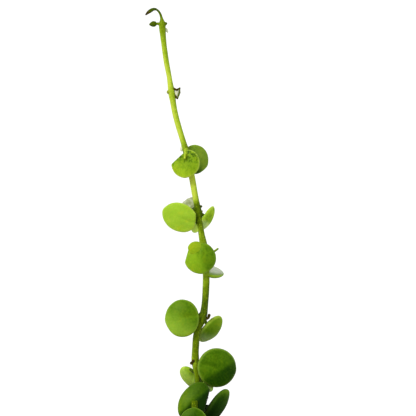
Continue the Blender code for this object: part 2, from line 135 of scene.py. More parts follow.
# Corners of a stone before the hull is drawn round them, and how far from its middle they may lie.
STONE_CORNERS = 13
STONE_REACH = (0.8, 1.0)
# Where chips and grit lie: the least upward part of the surface's normal, and their number to a square metre
# before the spacing thins them out. Each takes a kind by a random pick, along which the kinds repeat.
LEAST_UPWARD = 0.5
STREWN_DENSITY = 1.0e6
LAST_PICK = 99
STREWN_TONE_SEED = 7

# Leaf blades. A place on one runs from -1 at the foot to 1 at the tip, and its reach from 0 in the middle to
# 1 at the edge. The thickness is a share of the length, and the lower the fullness, the blunter the edge.
# Other heights are shares of half the length.
BLADE_THICKNESS = 0.2
BLADE_FULLNESS = 0.75
SWELL_HEIGHT = 0.03
SWELL_WAVES = 1.3
# Width in radians of the notch at the foot and of the point at the tip.
NOTCH_WIDTH = 0.34
TIP_WIDTH = 0.22
TIP_RISE = 0.03
OUTLINE_WOBBLE = 0.022
OUTLINE_WAVES = 1.6
# Crease from the foot up the middle of the upper side; its depth is a share of half the thickness.
CREASE_BAND = (0.35, -0.75)
CREASE_DEPTH = 0.3
CREASE_WIDTH = 0.13
RAISED_EDGE_REACH = 0.9
RAISED_EDGE_WIDTH = 0.07
# Where the marks that a leaf's finish reads begin and are full. On green leaves the rim mark also carries
# a painted highlight, and the bloom mark a painted sheen.
RIM_BAND = (0.88, 1.0)
BACK_BAND = (0.1, -0.1)
WAX_AND_SHEEN_BAND = (0.1, 0.5)
MOTTLE_BAND = (0.35, -0.45)
LEAST_MOTTLE = 0.3
TEAR_MOTTLE = 0.6
TEAR_BAND = (0.45, 0.05)
# How far what lies past a tear is drawn back to it.
TEAR_PULL = 0.97
# Segments round a blade and rings from its upper to its lower side.
BLADE_GRID = (64, 28)
SMALL_BLADE_GRID = (32, 16)
WITHERED_GRID = (40, 20)
LOW_BLADE_GRID = (26, 12)
LOW_BLADE_KINDS = 4
# Length in mm under which a leaf is small and pointed, and the rise of its point with its width in radians.
SMALL_BLADE = 5
SMALL_TIP = 0.3
SMALL_TIP_WIDTH = 0.5
# Seeds: the step between leaves of the climbing shoot, the first of its lobes and of its withered bits, and
# the step between kinds of blades of the low shoots.
LEAF_SEED_STEP = 1.7
LOBE_SEED = 31.0
WITHERED_SEED = 40.0
LOW_BLADE_SEED_STEP = 3.1

# Leaf stalks: their radius, how far they run into the blade, and their rings. Their girth is in radii. The
# flare thickens it towards the stem, and the taper thins it towards the blade.
STALK_RADIUS = 0.5 * MM
STALK_SINK = 1.3 * MM
STALK_RINGS = 7
STALK_GIRTH = 1.25
STALK_FLARE = 0.5
STALK_TAPER = 0.3

# Stems: the radii between two rings, and the steps of the curve between two stops of a route.
LONG_STEM_STEP = 0.9
LOW_STEM_STEP = 1.6
CURVE_STEPS = 12
# Rings past the end of a stem that round it: how far past, and how wide, in radii.
ROUNDED_END = ((0.5, 0.82), (0.85, 0.42))
STEM_BUMP_SIZE = 1.6 * MM
# How much the climbing stem swells at a node, and over what length.
NODE_SWELL = 0.22
NODE_SPREAD = 2.2 * MM
# Bark at a node of the climbing stem, and how far from its tip its bark starts.
NODE_BARK = 0.28
TIP_BARK_START = 3.2 * MM
# Tone of a leaf's stalk: so much, and so much more for each unit of its leaf's tone, kept low as painted
# shade where the stalk runs between blade and stem.
STALK_TONE = (0.03, 0.1)

Leaf = namedtuple("Leaf", "foot middle face tip length width cup notch torn")
Stop = namedtuple("Stop", "x y height radius")
Blade = namedtuple("Blade", "node offset face tip length width cup notch torn", defaults=(0.05, None))
Spur = namedtuple("Spur", "points radius end_radius bark tone")
LowShoot = namedtuple("LowShoot", "name bearing bend route leaf_size seed")
# A leaf's look: its tone from 0, deep green, to 1.25, lit, partly the leaf's own green and partly painted
# light and shade; the tone that it fades to along a direction in the front view (degrees from the right,
# upwards), with the start and end of that painted shading in half lengths from the middle; the slope by which
# the tone falls to the right, painted light from the left; and how much there is of bloom, mottles, edge and
# yellow.
# The bloom is wax with a painted sheen, and the edge a paler margin with a painted highlight.
Look = namedtuple(
    "Look", "tone far turn start end slope bloom mottle rim warm", defaults=(0.08, 0.0, 0.3, 1.0, 0.0)
)

# Centreline of the climbing shoot in mm: x, y, height above the mix, and radius of the stem.
CLIMBING_ROUTE = (
    Stop(0.3, 0.0, -12.0, 0.95),
    Stop(0.3, 0.0, -5.0, 1.0),
    Stop(0.3, 0.0, 1.0, 1.0),
    Stop(0.5, -0.3, 12.7, 1.0),
    Stop(-0.1, -0.8, 24.9, 1.0),
    Stop(-1.1, -0.6, 34.2, 1.0),
    Stop(-0.8, 0.3, 41.5, 1.0),
    Stop(-1.5, 0.6, 47.6, 1.02),
    Stop(-1.36, 0.4, 52.7, 1.13),
    Stop(-0.86, 0.1, 57.2, 1.07),
    Stop(0.9, 0.0, 61.7, 1.08),
    Stop(1.65, 0.2, 66.8, 1.08),
    Stop(1.98, 0.8, 74.2, 1.12),
    Stop(1.7, 1.2, 80.6, 1.08),
    Stop(1.08, 1.0, 85.0, 0.98),
    Stop(0.26, 0.6, 89.5, 0.99),
    Stop(-0.55, 0.4, 95.3, 0.95),
    Stop(-1.54, 0.2, 100.4, 0.97),
    Stop(-2.7, 0.1, 107.0, 1.0),
    Stop(-4.4, 0.3, 114.5, 0.88),
    Stop(-5.62, 0.6, 118.6, 0.9),
    Stop(-7.77, 0.9, 126.0, 0.93),
    Stop(-9.1, 0.9, 133.5, 0.92),
    Stop(-9.9, 0.8, 138.8, 0.8),
    Stop(-10.72, 0.6, 143.1, 0.87),
    Stop(-11.5, 0.5, 148.7, 0.85),
    Stop(-12.0, 0.3, 153.4, 1.03),
    Stop(-12.1, 0.2, 155.4, 1.15),
    Stop(-12.3, 0.1, 157.2, 0.46),
    Stop(-12.85, 0.0, 158.9, 0.36),
    Stop(-13.75, -0.2, 159.95, 0.34),
    Stop(-14.8, -0.4, 160.15, 0.48),
    Stop(-15.8, -0.6, 159.66, 0.64),
    Stop(-16.7, -0.8, 158.98, 0.52),
    Stop(-17.4, -1.0, 158.25, 0.18),
)
CLIMBING_NODES = (12.7, 24.9, 34.2, 47.6, 61.7, 85.0, 95.3, 114.5, 133.5)
# Painted light and shade on the climbing stem: how much lighter and yellower its left side is painted, and
# how much darker and greener its right side, as light from the left would make them.
PAINTED_SIDE_LIGHT = 0.3
# Tone of the climbing stem by height above the mix in mm, from 0, deep green, to 1, yellow-green: greener
# towards its base, and its dips where the leaves hang over it are painted shade.
STEM_TONES_AND_SHADE = (
    (0, 0.1),
    (30, 0.12),
    (44, 0.25),
    (47, 0.52),
    (50, 0.29),
    (56, 0.29),
    (62, 0.1),
    (66, 0.1),
    (72, 0.38),
    (76, 0.68),
    (84, 0.58),
    (90, 0.38),
    (94, 0.15),
    (97.5, 0.14),
    (100, 0.92),
    (107, 1.08),
    (114, 0.32),
    (120, 0.86),
    (129, 0.84),
    (133, 0.72),
    (138, 1.0),
    (146, 0.72),
    (157, 0.36),
    (160, 0.0),
)

# Leaves of the climbing shoot in mm. The node is a height above the mix, the offset runs from the stem there
# to the middle of the blade, the face is the upper side's (azimuth, elevation), 0, 0 being to the front, and
# the tip is the way that it points. The cup is how far the edge stands out towards the face, and the notch
# how far the foot is drawn in, in half lengths. A torn leaf has lost what lies past a line: its angle from
# the tip in degrees, and its share of the blade.
# Each leaf's look carries painted light and shade, as told at Look.
CLIMBING_LEAVES = (
    (Blade(12.7, (-6.2, -1.0, 1.6), (-30, 55), (-1, 0, 0.2), 10.4, 11.0, -0.08), Look(0.44, 0.34, 0, 0, 1)),
    (Blade(12.7, (6.3, 1.4, 1.2), (40, 50), (1, 0.2, 0.2), 10.8, 11.4, -0.08), Look(0.4, 0.3, 0, 0, 1)),
    (
        Blade(24.9, (-1.95, -5.7, 3.95), (-6, 8), (0.1, 0, 1), 8.5, 8.7, -0.1),
        Look(0.25, 0.46, 159, 0, 1, -0.17),
    ),
    (Blade(24.9, (1.8, 6.4, 0.6), (165, 40), (0.1, 1, 0.3), 10.6, 11.0, -0.1), Look(0.4, 0.3, 0, 0, 1)),
    (
        Blade(34.2, (-0.7, -2.6, 0.46), (-7, 14), (0.5, 0, 0.95), 13.6, 9.8, -0.06, 0.05, (-70, 0.74)),
        Look(0.32, 0.0, -52, -0.12, 0.17, 0.23, 0, 0.08, 0.3, 0.12),
    ),
    (
        Blade(34.2, (6.76, 3.2, -2.2), (-114, 29), (0.48, 0.45, 0.85), 14.5, 10.9, 0.15),
        Look(0.1, 0.32, 65, 0.55, 1.0, -0.33, 0, 0.1, 0.3),
    ),
    (
        Blade(47.6, (7.02, -1.5, -2.13), (12, -2), (1, 0, -0.2), 12.65, 12.6, -0.1, 0.0),
        Look(0.39, 0.21, -60, 0.06, 0.28, 0.03, 0, 0.2, 1.2),
    ),
    (
        Blade(47.6, (-0.64, 5.4, -6.9), (134, 42), (0.04, 0.89, -0.46), 10.8, 11.6, 0.22, 0.3),
        Look(0.95, 0.66, 56, 0.17, 0.38, 0.14, 0.07, 0.6),
    ),
    (
        Blade(61.7, (-6.64, -1.8, -0.31), (-12, 6), (-1, 0, -0.1), 11.15, 12.0, -0.12, 0.03),
        Look(0.83, 0.46, 65, -0.91, 0.4, 0.03, 0.03, 0.15),
    ),
    (
        Blade(61.7, (3.45, 4.0, -4.85), (-121, 36), (0.3, 0.85, -0.35), 10.3, 10.4, 0.3),
        Look(1.17, 0.51, 105, -0.69, 0.14, -0.31, 0.38, 0.15, 2.4),
    ),
    (
        Blade(85.0, (-1.06, -3.2, -4.33), (2, 8), (0.1, 0, -1), 10.2, 10.2, -0.1, 0.05, (-112, 0.84)),
        Look(0.75, 0.55, 30, -0.3, 0.2, 0.1, 0, 0.45),
    ),
    (
        Blade(85.0, (2.34, 2.6, -9.63), (38, 65), (1.06, 0.1, -0.42), 7.9, 8.8, 0.26),
        Look(0.72, 0.75, -105, -0.1, 0.2, 0.0, 1.0, 0.4),
    ),
    (
        Blade(95.3, (-5.88, -1.6, -1.78), (-7, -3), (-0.93, 0, 0.4), 11.7, 9.1, -0.05, 0.09, (197, 0.88)),
        Look(0.98, 1.12, -94, 0.42, 0.76, 0.02, 0.02, 0.2),
    ),
    (
        Blade(95.3, (3.2, 3.5, -2.86), (-104, 32), (0.25, 0.85, -0.41), 9.0, 9.6, 0.26),
        Look(1.25, 0.92, 76, -0.3, 0.1, -0.35, 0.26, 0.9),
    ),
    (
        Blade(114.5, (-0.14, -2.8, -3.7), (-14, 8), (-0.05, 0, -1), 9.3, 9.35, 0.06, 0.05, (-135, 0.6)),
        Look(0.93, 0.67, 48, -0.71, 0.13, -0.04, 0, 1.7, 2.2, 0.12),
    ),
    (
        Blade(114.5, (2.85, 2.6, -2.35), (24, 0), (0.8, 0.3, -0.4), 9.45, 9.45, -0.08),
        Look(0.6, 0.1, -125, 0.0, 0.8, -0.02, 0.02, 0.6, 1.0, 0.12),
    ),
    (
        Blade(155.4, (-2.75, -0.3, 0.05), (0, 10), (-1, 0, -0.15), 2.2, 1.9, 0.0),
        Look(0.26, 0.1, -90, 0, 1, 0, 0, 0.4, 0.6, 1),
    ),
    (
        Blade(155.4, (0.7, -0.35, 0.05), (30, 20), (1, 0, 0.5), 1.8, 1.4, 0.0),
        Look(0.42, 0.25, 0, 0, 1, 0, 0, 0.4, 0.2, 1),
    ),
)
# Lobes without a stalk: the foot of a leaf folded over its upper side, two that show behind the stem, and one
# at the foot of a low leaf.
LOBES = (
    (
        Blade(85.0, (-2.12, -3.25, -1.42), (18, 6), (-0.95, 0, 0.1), 5.6, 4.8, -0.14),
        Look(0.8, 0.8, -60, -0.3, 0.6, 0.0, 0, 0.3, 0.6, 0.16),
    ),
    (
        Blade(95.3, (-1.0, -0.1, -5.4), (-10, 10), (0.3, 0, 1), 2.7, 2.5, 0.0, 0.0),
        Look(1.25, 1.25, 0, 0, 1, 0, 0.1, 0.2),
    ),
    (
        Blade(47.6, (4.2, -0.4, -8.3), (20, 15), (-0.7, 0, 0.7), 3.5, 3.0, 0.0, 0.0),
        Look(0.85, 0.85, 0, 0, 1, 0, 0.25, 0.4),
    ),
    (
        Blade(34.2, (3.46, 1.0, -2.26), (-20, 10), (0.6, 0, -0.7), 3.4, 3.4, 0.0, 0.0),
        Look(0.1, 0.0, -60, -0.4, 0.4),
    ),
)
# Withered bits with their tone, from 0, brown, to 1, cream: a leaf, the core of a scar, and two flakes.
WITHERED = (
    (Blade(95.3, (-2.4, 1.3, 2.1), (-25, 15), (-0.9, 0, -0.42), 6.0, 5.2, 0.1, 0.05, (100, 0.6)), 0.37),
    (Blade(133.5, (1.85, -0.2, -0.1), (10, 0), (1, 0, 0.3), 1.7, 2.3, 0.0), 0.74),
    (Blade(114.5, (-1.35, 0.2, 1.4), (-15, 5), (0.2, 0, 1), 2.6, 1.1, 0.0), 0.75),
    (Blade(153.5, (1.3, 0.2, 0.0), (20, 10), (0.5, 0, -1), 1.5, 1.0, 0.0), 0.75),
)
# Crumpling of a withered bit: its height in half thicknesses, its shift in half lengths, and their waves.
WITHERED_CRUMPLE = (0.5, 0.12)
CRUMPLE_WAVES = (2.7, 2.3)

# Rootlets, scars and side buds of the climbing shoot: points in mm like those of its centreline, the radius
# at each end, the bark from 0, green, to 1, brown, and the tone of the green.
CLIMBING_SPURS = (
    Spur(
        (
            (-9.0, 0.9, 134.9),
            (-8.2, 0.6, 134.7),
            (-7.6, 0.5, 134.4),
            (-6.95, 0.45, 134.65),
            (-6.45, 0.4, 134.95),
        ),
        0.42,
        0.28,
        0.75,
        0.0,
    ),
    Spur(
        ((-6.5, 0.4, 134.8), (-6.6, 0.3, 133.6), (-6.95, 0.3, 132.5), (-7.1, 0.3, 131.9)),
        0.26,
        0.26,
        0.42,
        0.2,
    ),
    Spur(((-9.0, 0.9, 132.9), (-8.0, 0.6, 132.4), (-7.25, 0.3, 131.6)), 0.42, 0.3, 1.0, 0.0),
    Spur(((-9.1, 0.9, 133.6), (-10.05, 0.8, 133.7)), 0.85, 0.7, 0.52, 1.0),
    Spur(((1.4, 1.2, 84.6), (3.6, 1.9, 82.4), (4.9, 1.7, 82.9), (5.7, 1.5, 83.5)), 0.45, 0.3, 0.12, 0.5),
    Spur(((1.0, 0.0, 61.0), (2.5, -0.2, 61.3), (2.95, -0.3, 62.3)), 0.4, 0.5, 1.0, 0.0),
    Spur(((-1.5, 0.3, 47.9), (-2.25, -0.5, 47.6)), 0.6, 0.5, 1.0, 0.0),
    Spur(((-1.6, 0.5, 47.5), (-2.75, -0.2, 46.9)), 0.6, 0.55, 1.0, 0.0),
    Spur(((-1.4, 0.5, 44.0), (-2.3, 1.0, 44.3), (-3.1, 1.4, 44.8)), 0.7, 0.4, 0.05, 0.0),
    Spur(((-0.5, 0.4, 96.9), (0.4, 0.1, 97.1)), 0.5, 0.4, 0.5, 0.05),
    Spur(((-0.2, 0.4, 95.2), (0.55, 0.1, 95.5)), 0.5, 0.4, 0.35, 0.1),
    Spur(
        ((-0.9, 0.5, 97.2), (-1.75, 0.2, 96.1), (-1.5, 0.0, 93.6), (-0.95, 0.3, 91.9)),
        0.55,
        0.6,
        0.15,
        0.0,
    ),
    Spur(((-12.1, 0.2, 155.3), (-13.2, 0.0, 155.5), (-13.9, -0.2, 155.5)), 0.62, 0.36, 0.0, 0.35),
    Spur(((1.2, 0.0, 63.2), (-0.2, -0.6, 62.0), (-0.7, -0.8, 60.4), (-0.4, -0.3, 58.8)), 0.8, 0.6, 0.0, 0.1),
    Spur(((0.9, 0.2, 61.9), (1.7, 0.5, 60.6)), 0.8, 0.5, 0.1, 0.0),
    Spur(((-4.4, -0.4, 115.1), (-4.6, -2.9, 113.7), (-4.85, -3.95, 112.2)), 0.72, 0.32, 0.0, 0.7),
    Spur(((1.5, -2.4, 35.8), (2.65, -2.6, 35.9)), 0.25, 0.14, 0.9, 0.0),
    Spur(((-1.3, -3.3, 29.5), (-1.65, -4.5, 32.6), (-1.75, -5.0, 35.1)), 1.15, 0.95, 0.0, 0.2),
)

# Routes of the low shoots in mm: distance from the pot's axis and height above the mix.
LONG_TRAIL = (
    (24, -12),
    (24, 1),
    (26, 7),
    (32, 12.5),
    (41, 15.5),
    (49, 13),
    (54.5, 3),
    (56.5, -11),
    (57, -25),
)
SHORT_TRAIL = ((23, -12), (23, 1), (25, 8), (31, 14), (40, 16), (48, 14), (53.5, 6), (56, -5))
RISING = ((18, -12), (18, 1), (19, 8), (23, 16), (29, 21.5), (35, 23.5))

# Low shoots: the bearing in degrees from +X towards +Y, the bend by which it turns on its way out, the route,
# the length of a grown leaf in mm, and the seed.
LOW_SHOOTS = (
    LowShoot("trailing_shoot_front_left", 232, 9, LONG_TRAIL, 9.6, 11),
    LowShoot("trailing_shoot_right", 338, -8, SHORT_TRAIL, 9.2, 23),
    LowShoot("trailing_shoot_back", 102, -10, LONG_TRAIL, 9.4, 59),
    LowShoot("young_shoot_front_right", 286, 10, RISING, 8.6, 35),
    LowShoot("young_shoot_back_right", 48, 8, RISING, 9.0, 47),
    LowShoot("young_shoot_left", 166, -8, RISING, 8.8, 71),
)
LOW_STEM_RADIUS = 0.85 * MM
LOW_TIP_RADIUS = 0.35 * MM
LOW_STEM_SIDES = 16
# Tone of a low stem: at its foot, and how much it gains between two distances from its tip.
LOW_STEM_TONE = 0.3
LOW_STEM_GAIN = 0.35
LOW_STEM_FRESH = (45 * MM, 4 * MM)
# Bark of a low shoot: at its growing tip, how far from the tip it starts, and on a leaf's stalk.
LOW_TIP_BARK = 0.5
LOW_TIP_BARK_START = 2.0 * MM
LOW_STALK_BARK = 0.05
# Leaf pairs of a low shoot: where the first and last may stand, how far apart they are and how big. The age
# of a pair runs from 0 at the growing tip to 1; the youngest are a share as big, and a share as far apart.
LOW_FIRST_LEAF = 20 * MM
LOW_LAST_LEAF = 1.5 * MM
LOW_LEAF_STEP = 8.2 * MM
LOW_LEAF_STALK = 1.1 * MM
LOW_LEAF_LIFT = 0.5 * MM
LOW_YOUNG_SPAN = 22 * MM
LOW_YOUNGEST = 0.35
LOW_YOUNGEST_STEP = 0.6
LOW_DOME = -0.08
LOW_NOTCH = 0.08
# Half the length of a common low leaf, by which a blade that is made one unit from middle to tip is scaled.
LOW_HALF_LEAF = 4.5 * MM
# Ranges in which leaves of a low shoot differ: length and width, the lean of the tip along the stem and
# outwards, and the lean of the face towards the stem and along it.
LOW_LENGTHS = (0.9, 1.08)
LOW_WIDTHS = (0.98, 1.1)
LOW_TIP_LEAN = (0.1, 0.45)
LOW_TIP_LIFT = (0.0, 0.3)
LOW_FACE_LEAN = (-0.1, 0.35)
LOW_FACE_TIP = (-0.3, 0.2)
# Tone of a low leaf: grown, how much more at the growing tip, and the range in which leaves differ.
LOW_LEAF_TONE = 0.38
LOW_LEAF_GAIN = 0.34
LOW_LEAF_TONES = (-0.12, 0.14)
# Rootlets of the low shoots: what they add to a shoot's seed, the share of leaves with one, its length and
# radii in mm, where it bends and how far it sags in lengths, the step between its rings, its tone and bark.
LOW_ROOTLET_SEED = 1000
LOW_ROOTLET_SHARE = 0.7
LOW_ROOTLET = (1.2, 3.0)
LOW_ROOTLET_RADII = (0.34, 0.26, 0.12)
LOW_ROOTLET_BEND = 0.6
LOW_ROOTLET_SAG = 0.25
LOW_ROOTLET_STEP = 2.5
LOW_ROOTLET_TONE = 0.2
LOW_ROOTLET_BARK = 0.9

# Yellow cast of a leaf with a warm tone, and the colour of the shine on leaves and stems.
WARMTH = (2.0, 1.08, 0.3)
WAX_TINT = (0.75, 1.0, 0.25, 1.0)

# Camera: its place, and the width of what it sees at the plant.
CAMERA_PLACE = (0.00256, -1.0, 0.16656)
CAMERA_VIEW = 0.13312
CAMERA_SENSOR = 36

# Studio: the places of the two lights, how many times as strong and wide as the key light the fill light is,
# and the height that both are aimed at. The floor is flat, then bends up into a wall all round.
KEY_PLACE = (-0.95, -1.15, 1.15)
FILL_PLACE = (1.1, -0.7, 0.7)
FILL_POWER = 0.12
FILL_SIZE = 2
LIGHT_AIM = 0.14
FLOOR_SIDES = 96
FLOOR_RINGS = 12
FLOOR_BEND = 1.6
FLOOR_BEND_RINGS = 16
FLOOR_WALL = 2.4
FLOOR_GLOW = 0.36


def srgb(red, green, blue):
    """A colour given as 0 to 255, as Blender's linear numbers."""
    linear = []
    for part in (red, green, blue):
        share = part / 255
        linear.append(share / 12.92 if share <= 0.04045 else ((share + 0.055) / 1.055) ** 2.4)
    return tuple(linear)


def colour_property(name, description, default):
    return FloatVectorProperty(
        name=name, description=description, default=default, size=3, min=0, max=1, subtype="COLOR"
    )


class PlantLooks(bpy.types.PropertyGroup):
    """Colours and fine shape of the stems and leaves."""

    leaf_deep: colour_property("Deep green", "Leaf colour at tone 0", (0.0012, 0.017, 0.0002))
    leaf_shaded: colour_property("Shaded green", "Leaf colour at tone 0.15", (0.008, 0.042, 0.0002))
    leaf_middle: colour_property("Middle green", "Leaf colour at tone 0.35", (0.040, 0.108, 0.0004))
    leaf_fresh: colour_property("Fresh green", "Leaf colour at tone 0.6", (0.122, 0.240, 0.005))
    leaf_bright: colour_property("Bright green", "Leaf colour at tone 1", (0.262, 0.435, 0.013))
    leaf_lit: colour_property("Lit green", "Leaf colour at tone 1.25", (0.460, 0.640, 0.060))
    # Wax colour, which also paints the sheen on the leaves.
    leaf_bloom: colour_property("Wax", "Colour of the waxy bloom on a leaf", (0.70, 0.74, 0.64))
    leaf_roughness: FloatProperty(
        name="Leaf roughness",
        description="Roughness of a leaf's upper side",
        default=0.4,
        min=0,
        max=1,
        subtype="FACTOR",
    )
    leaf_edge: FloatProperty(
        name="Leaf edge",
        description="Height of the raised edge of a leaf",
        default=0.05 * MM,
        unit="LENGTH",
    )
    stem_deep: colour_property("Deep stem", "Stem colour at tone 0", (0.030, 0.060, 0.0003))
    stem_middle: colour_property("Middle stem", "Stem colour at tone 0.35", (0.116, 0.180, 0.001))
    stem_fresh: colour_property("Fresh stem", "Stem colour at tone 0.7", (0.255, 0.370, 0.012))
    stem_bright: colour_property("Bright stem", "Stem colour at tone 1", (0.450, 0.540, 0.050))
    bark: colour_property("Bark", "Colour of rootlets, scars and buds", (0.022, 0.015, 0.002))
    stem_unevenness: FloatProperty(
        name="Stem unevenness",
        description="Height of the bumps along a stem",
        default=0.05 * MM,
        unit="LENGTH",
    )
    stem_sides: IntProperty(
        name="Stem sides", description="Sides of a stem's section", default=20, min=8, max=48
    )


class PotLooks(bpy.types.PropertyGroup):
    """Colours of the pot, and what lies on the mix."""

    clay: colour_property("Clay", "Colour of the fired clay", (0.46, 0.150, 0.062))
    mineral: colour_property("Mineral bloom", "Colour of the mineral bloom on the clay", (0.66, 0.55, 0.45))
    ring_height: FloatProperty(
        name="Throwing rings",
        description="Height of the rings left by throwing",
        default=0.09 * MM,
        unit="LENGTH",
    )
    bark: colour_property("Bark chips", "Colour of a bark chip", (0.125, 0.060, 0.028))
    soil: colour_property("Fines", "Colour of the fine mix between the chips", (0.030, 0.018, 0.011))
    grit: colour_property("Grit", "Colour of the pumice grit", (0.52, 0.49, 0.43))
    chip_spacing: FloatProperty(
        name="Chip spacing",
        description="Least distance between bark chips",
        default=2.6 * MM,
        unit="LENGTH",
    )
    grit_spacing: FloatProperty(
        name="Grit spacing",
        description="Least distance between grains of grit",
        default=3.6 * MM,
        unit="LENGTH",
    )


class StageLooks(bpy.types.PropertyGroup):
    """Floor and light of the studio."""

    floor: colour_property("Floor", "Colour of the floor", (0.9, 0.9, 0.9))
    floor_radius: FloatProperty(
        name="Floor radius", description="Radius of the flat floor", default=3.0, unit="LENGTH"
    )
    sky: FloatProperty(name="Sky", description="Strength of the light from all round", default=0.8, min=0)
    key: FloatProperty(
        name="Key light",
        description="Power of the soft light from the upper left",
        default=23.0,
        unit="POWER",
    )
    key_size: FloatProperty(
        name="Key size", description="Width of the soft light", default=0.55, unit="LENGTH"
    )


class Value:
    """A number in a node tree. Sums with it add Math nodes."""

    def __init__(self, bench, socket):
        self.bench = bench
        self.socket = socket

    def math(self, operation, *terms):
        """What a Math node makes of the terms."""
        node = self.bench.node("ShaderNodeMath", {"operation": operation}, dict(enumerate(terms)))
        return Value(self.bench, node.outputs[0])

    def __add__(self, other):
        return self.math("ADD", self, other)

    def __radd__(self, other):
        return self.math("ADD", other, self)

    def __sub__(self, other):
        return self.math("SUBTRACT", self, other)

    def __rsub__(self, other):
        return self.math("SUBTRACT", other, self)

    def __mul__(self, other):
        return self.math("MULTIPLY", self, other)

    def __rmul__(self, other):
        return self.math("MULTIPLY", other, self)

    def __truediv__(self, other):
        return self.math("DIVIDE", self, other)

    def __rtruediv__(self, other):
        return self.math("DIVIDE", other, self)

    def __pow__(self, other):
        return self.math("POWER", self, other)

    def __rpow__(self, other):
        return self.math("POWER", other, self)

    def __abs__(self):
        return self.math("ABSOLUTE", self)

    def least(self, other):
        """The lesser of the two numbers."""
        return self.math("MINIMUM", self, other)

    def below(self, limit):
        """1 where the number is less than the limit, and 0 elsewhere."""
        return self.math("LESS_THAN", self, limit)

    def above(self, limit):
        """1 where the number is greater than the limit, and 0 elsewhere."""
        return self.math("GREATER_THAN", self, limit)

    def step(self, start, end):
        """0 below start and 1 above end, smooth in between."""
        settings = {"interpolation_type": "SMOOTHSTEP"}
        sockets = {"Value": self, "From Min": start, "From Max": end}
        node = self.bench.node("ShaderNodeMapRange", settings, sockets)
        return Value(self.bench, node.outputs["Result"])


class Bench:
    """A node tree being built."""

    def __init__(self, tree):
        self.tree = tree

    def node(self, kind, settings=None, sockets=None):
        """A node of that type: its settings are made first, then its sockets get their values or links."""
        made = self.tree.nodes.new(kind)
        for name, setting in (settings or {}).items():
            if name == "stops":
                self.set_stops(made.color_ramp.elements, setting)
            else:
                setattr(made, name, setting)
        by_identifier = {socket.identifier: socket for socket in made.inputs}
        for name, given in (sockets or {}).items():
            socket = by_identifier.get(name) or made.inputs[name]
            source = given.socket if isinstance(given, Value) else given
            if isinstance(source, bpy.types.NodeSocket):
                self.tree.links.new(source, socket)
            else:
                socket.default_value = source
        return made

    @staticmethod
    def set_stops(elements, stops):
        """Sets the stops of a colour ramp, as (position, colour)."""
        while len(elements) < len(stops):
            elements.new(1.0)
        for element, (position, colour) in zip(elements, stops):
            element.position = position
            element.color = (*colour, 1)

    def parts(self, vector):
        """The three numbers of a vector."""
        node = self.node("ShaderNodeSeparateXYZ", {}, {0: vector})
        return [Value(self, socket) for socket in node.outputs]


class Finish(Bench):
    """A material being built, around one Principled shader."""

    def __init__(self, name):
        self.material = bpy.data.materials.new(name)
        self.material.use_nodes = True
        super().__init__(self.material.node_tree)
        self.tree.nodes.clear()
        self.place = self.node("ShaderNodeTexCoord").outputs["Object"]

    def number(self, name):
        """The number kept in the attribute of that name."""
        node = self.node("ShaderNodeAttribute", {"attribute_name": name})
        return Value(self, node.outputs["Fac"])

    def vector(self, name):
        """The vector kept in the attribute of that name."""
        return self.node("ShaderNodeAttribute", {"attribute_name": name}).outputs["Vector"]

    def stretched(self, vector, scale):
        """The vector with each part multiplied by that of the scale."""
        node = self.node("ShaderNodeVectorMath", {"operation": "MULTIPLY"}, {0: vector, 1: scale})
        return node.outputs["Vector"]

    def cloud(self, scale, detail=2.0, at=None, roughness=0.5, distortion=0.0):
        """Noise from 0 to 1, with so many clouds to a metre or to a unit of the vector."""
        sockets = {
            "Vector": at or self.place,
            "Scale": scale,
            "Detail": detail,
            "Roughness": roughness,
            "Distortion": distortion,
        }
        return Value(self, self.node("ShaderNodeTexNoise", {}, sockets).outputs[0])

    def cells(self, scale):
        """Distance to the middle of the nearest cell, with so many cells to a metre."""
        sockets = {"Vector": self.place, "Scale": scale}
        return Value(self, self.node("ShaderNodeTexVoronoi", {}, sockets).outputs["Distance"])

    def colours(self, value, stops):
        """The colour at a value along (position, colour) stops."""
        return self.node("ShaderNodeValToRGB", {"stops": stops}, {"Fac": value}).outputs["Color"]

    def blend(self, factor, under, over, how="MIX"):
        """One colour laid over another, fully where the factor is 1."""
        settings = {"data_type": "RGBA", "blend_type": how, "clamp_factor": True}
        pair = {"Factor_Float": factor}
        for name, colour in (("A_Color", under), ("B_Color", over)):
            pair[name] = (*colour, 1) if isinstance(colour, tuple) else colour
        return self.node("ShaderNodeMix", settings, pair).outputs[2]

    def bump(self, height, distance, onto=None):
        """A normal bent by a height from 0 to 1 that stands for the distance in metres."""
        sockets = {"Height": height, "Distance": distance, "Strength": 1.0}
        if onto is not None:
            sockets["Normal"] = onto
        return self.node("ShaderNodeBump", {}, sockets).outputs["Normal"]

    def done(self, colour, roughness, normal, **constants):
        """The finished material. Constants are named after the shader's sockets."""
        sockets = {"Base Color": colour, "Roughness": roughness, "Normal": normal}
        sockets.update({name.replace("_", " "): value for name, value in constants.items()})
        shader = self.node("ShaderNodeBsdfPrincipled", {}, sockets)
        self.node("ShaderNodeOutputMaterial", {}, {"Surface": shader.outputs[0]})
        return self.material


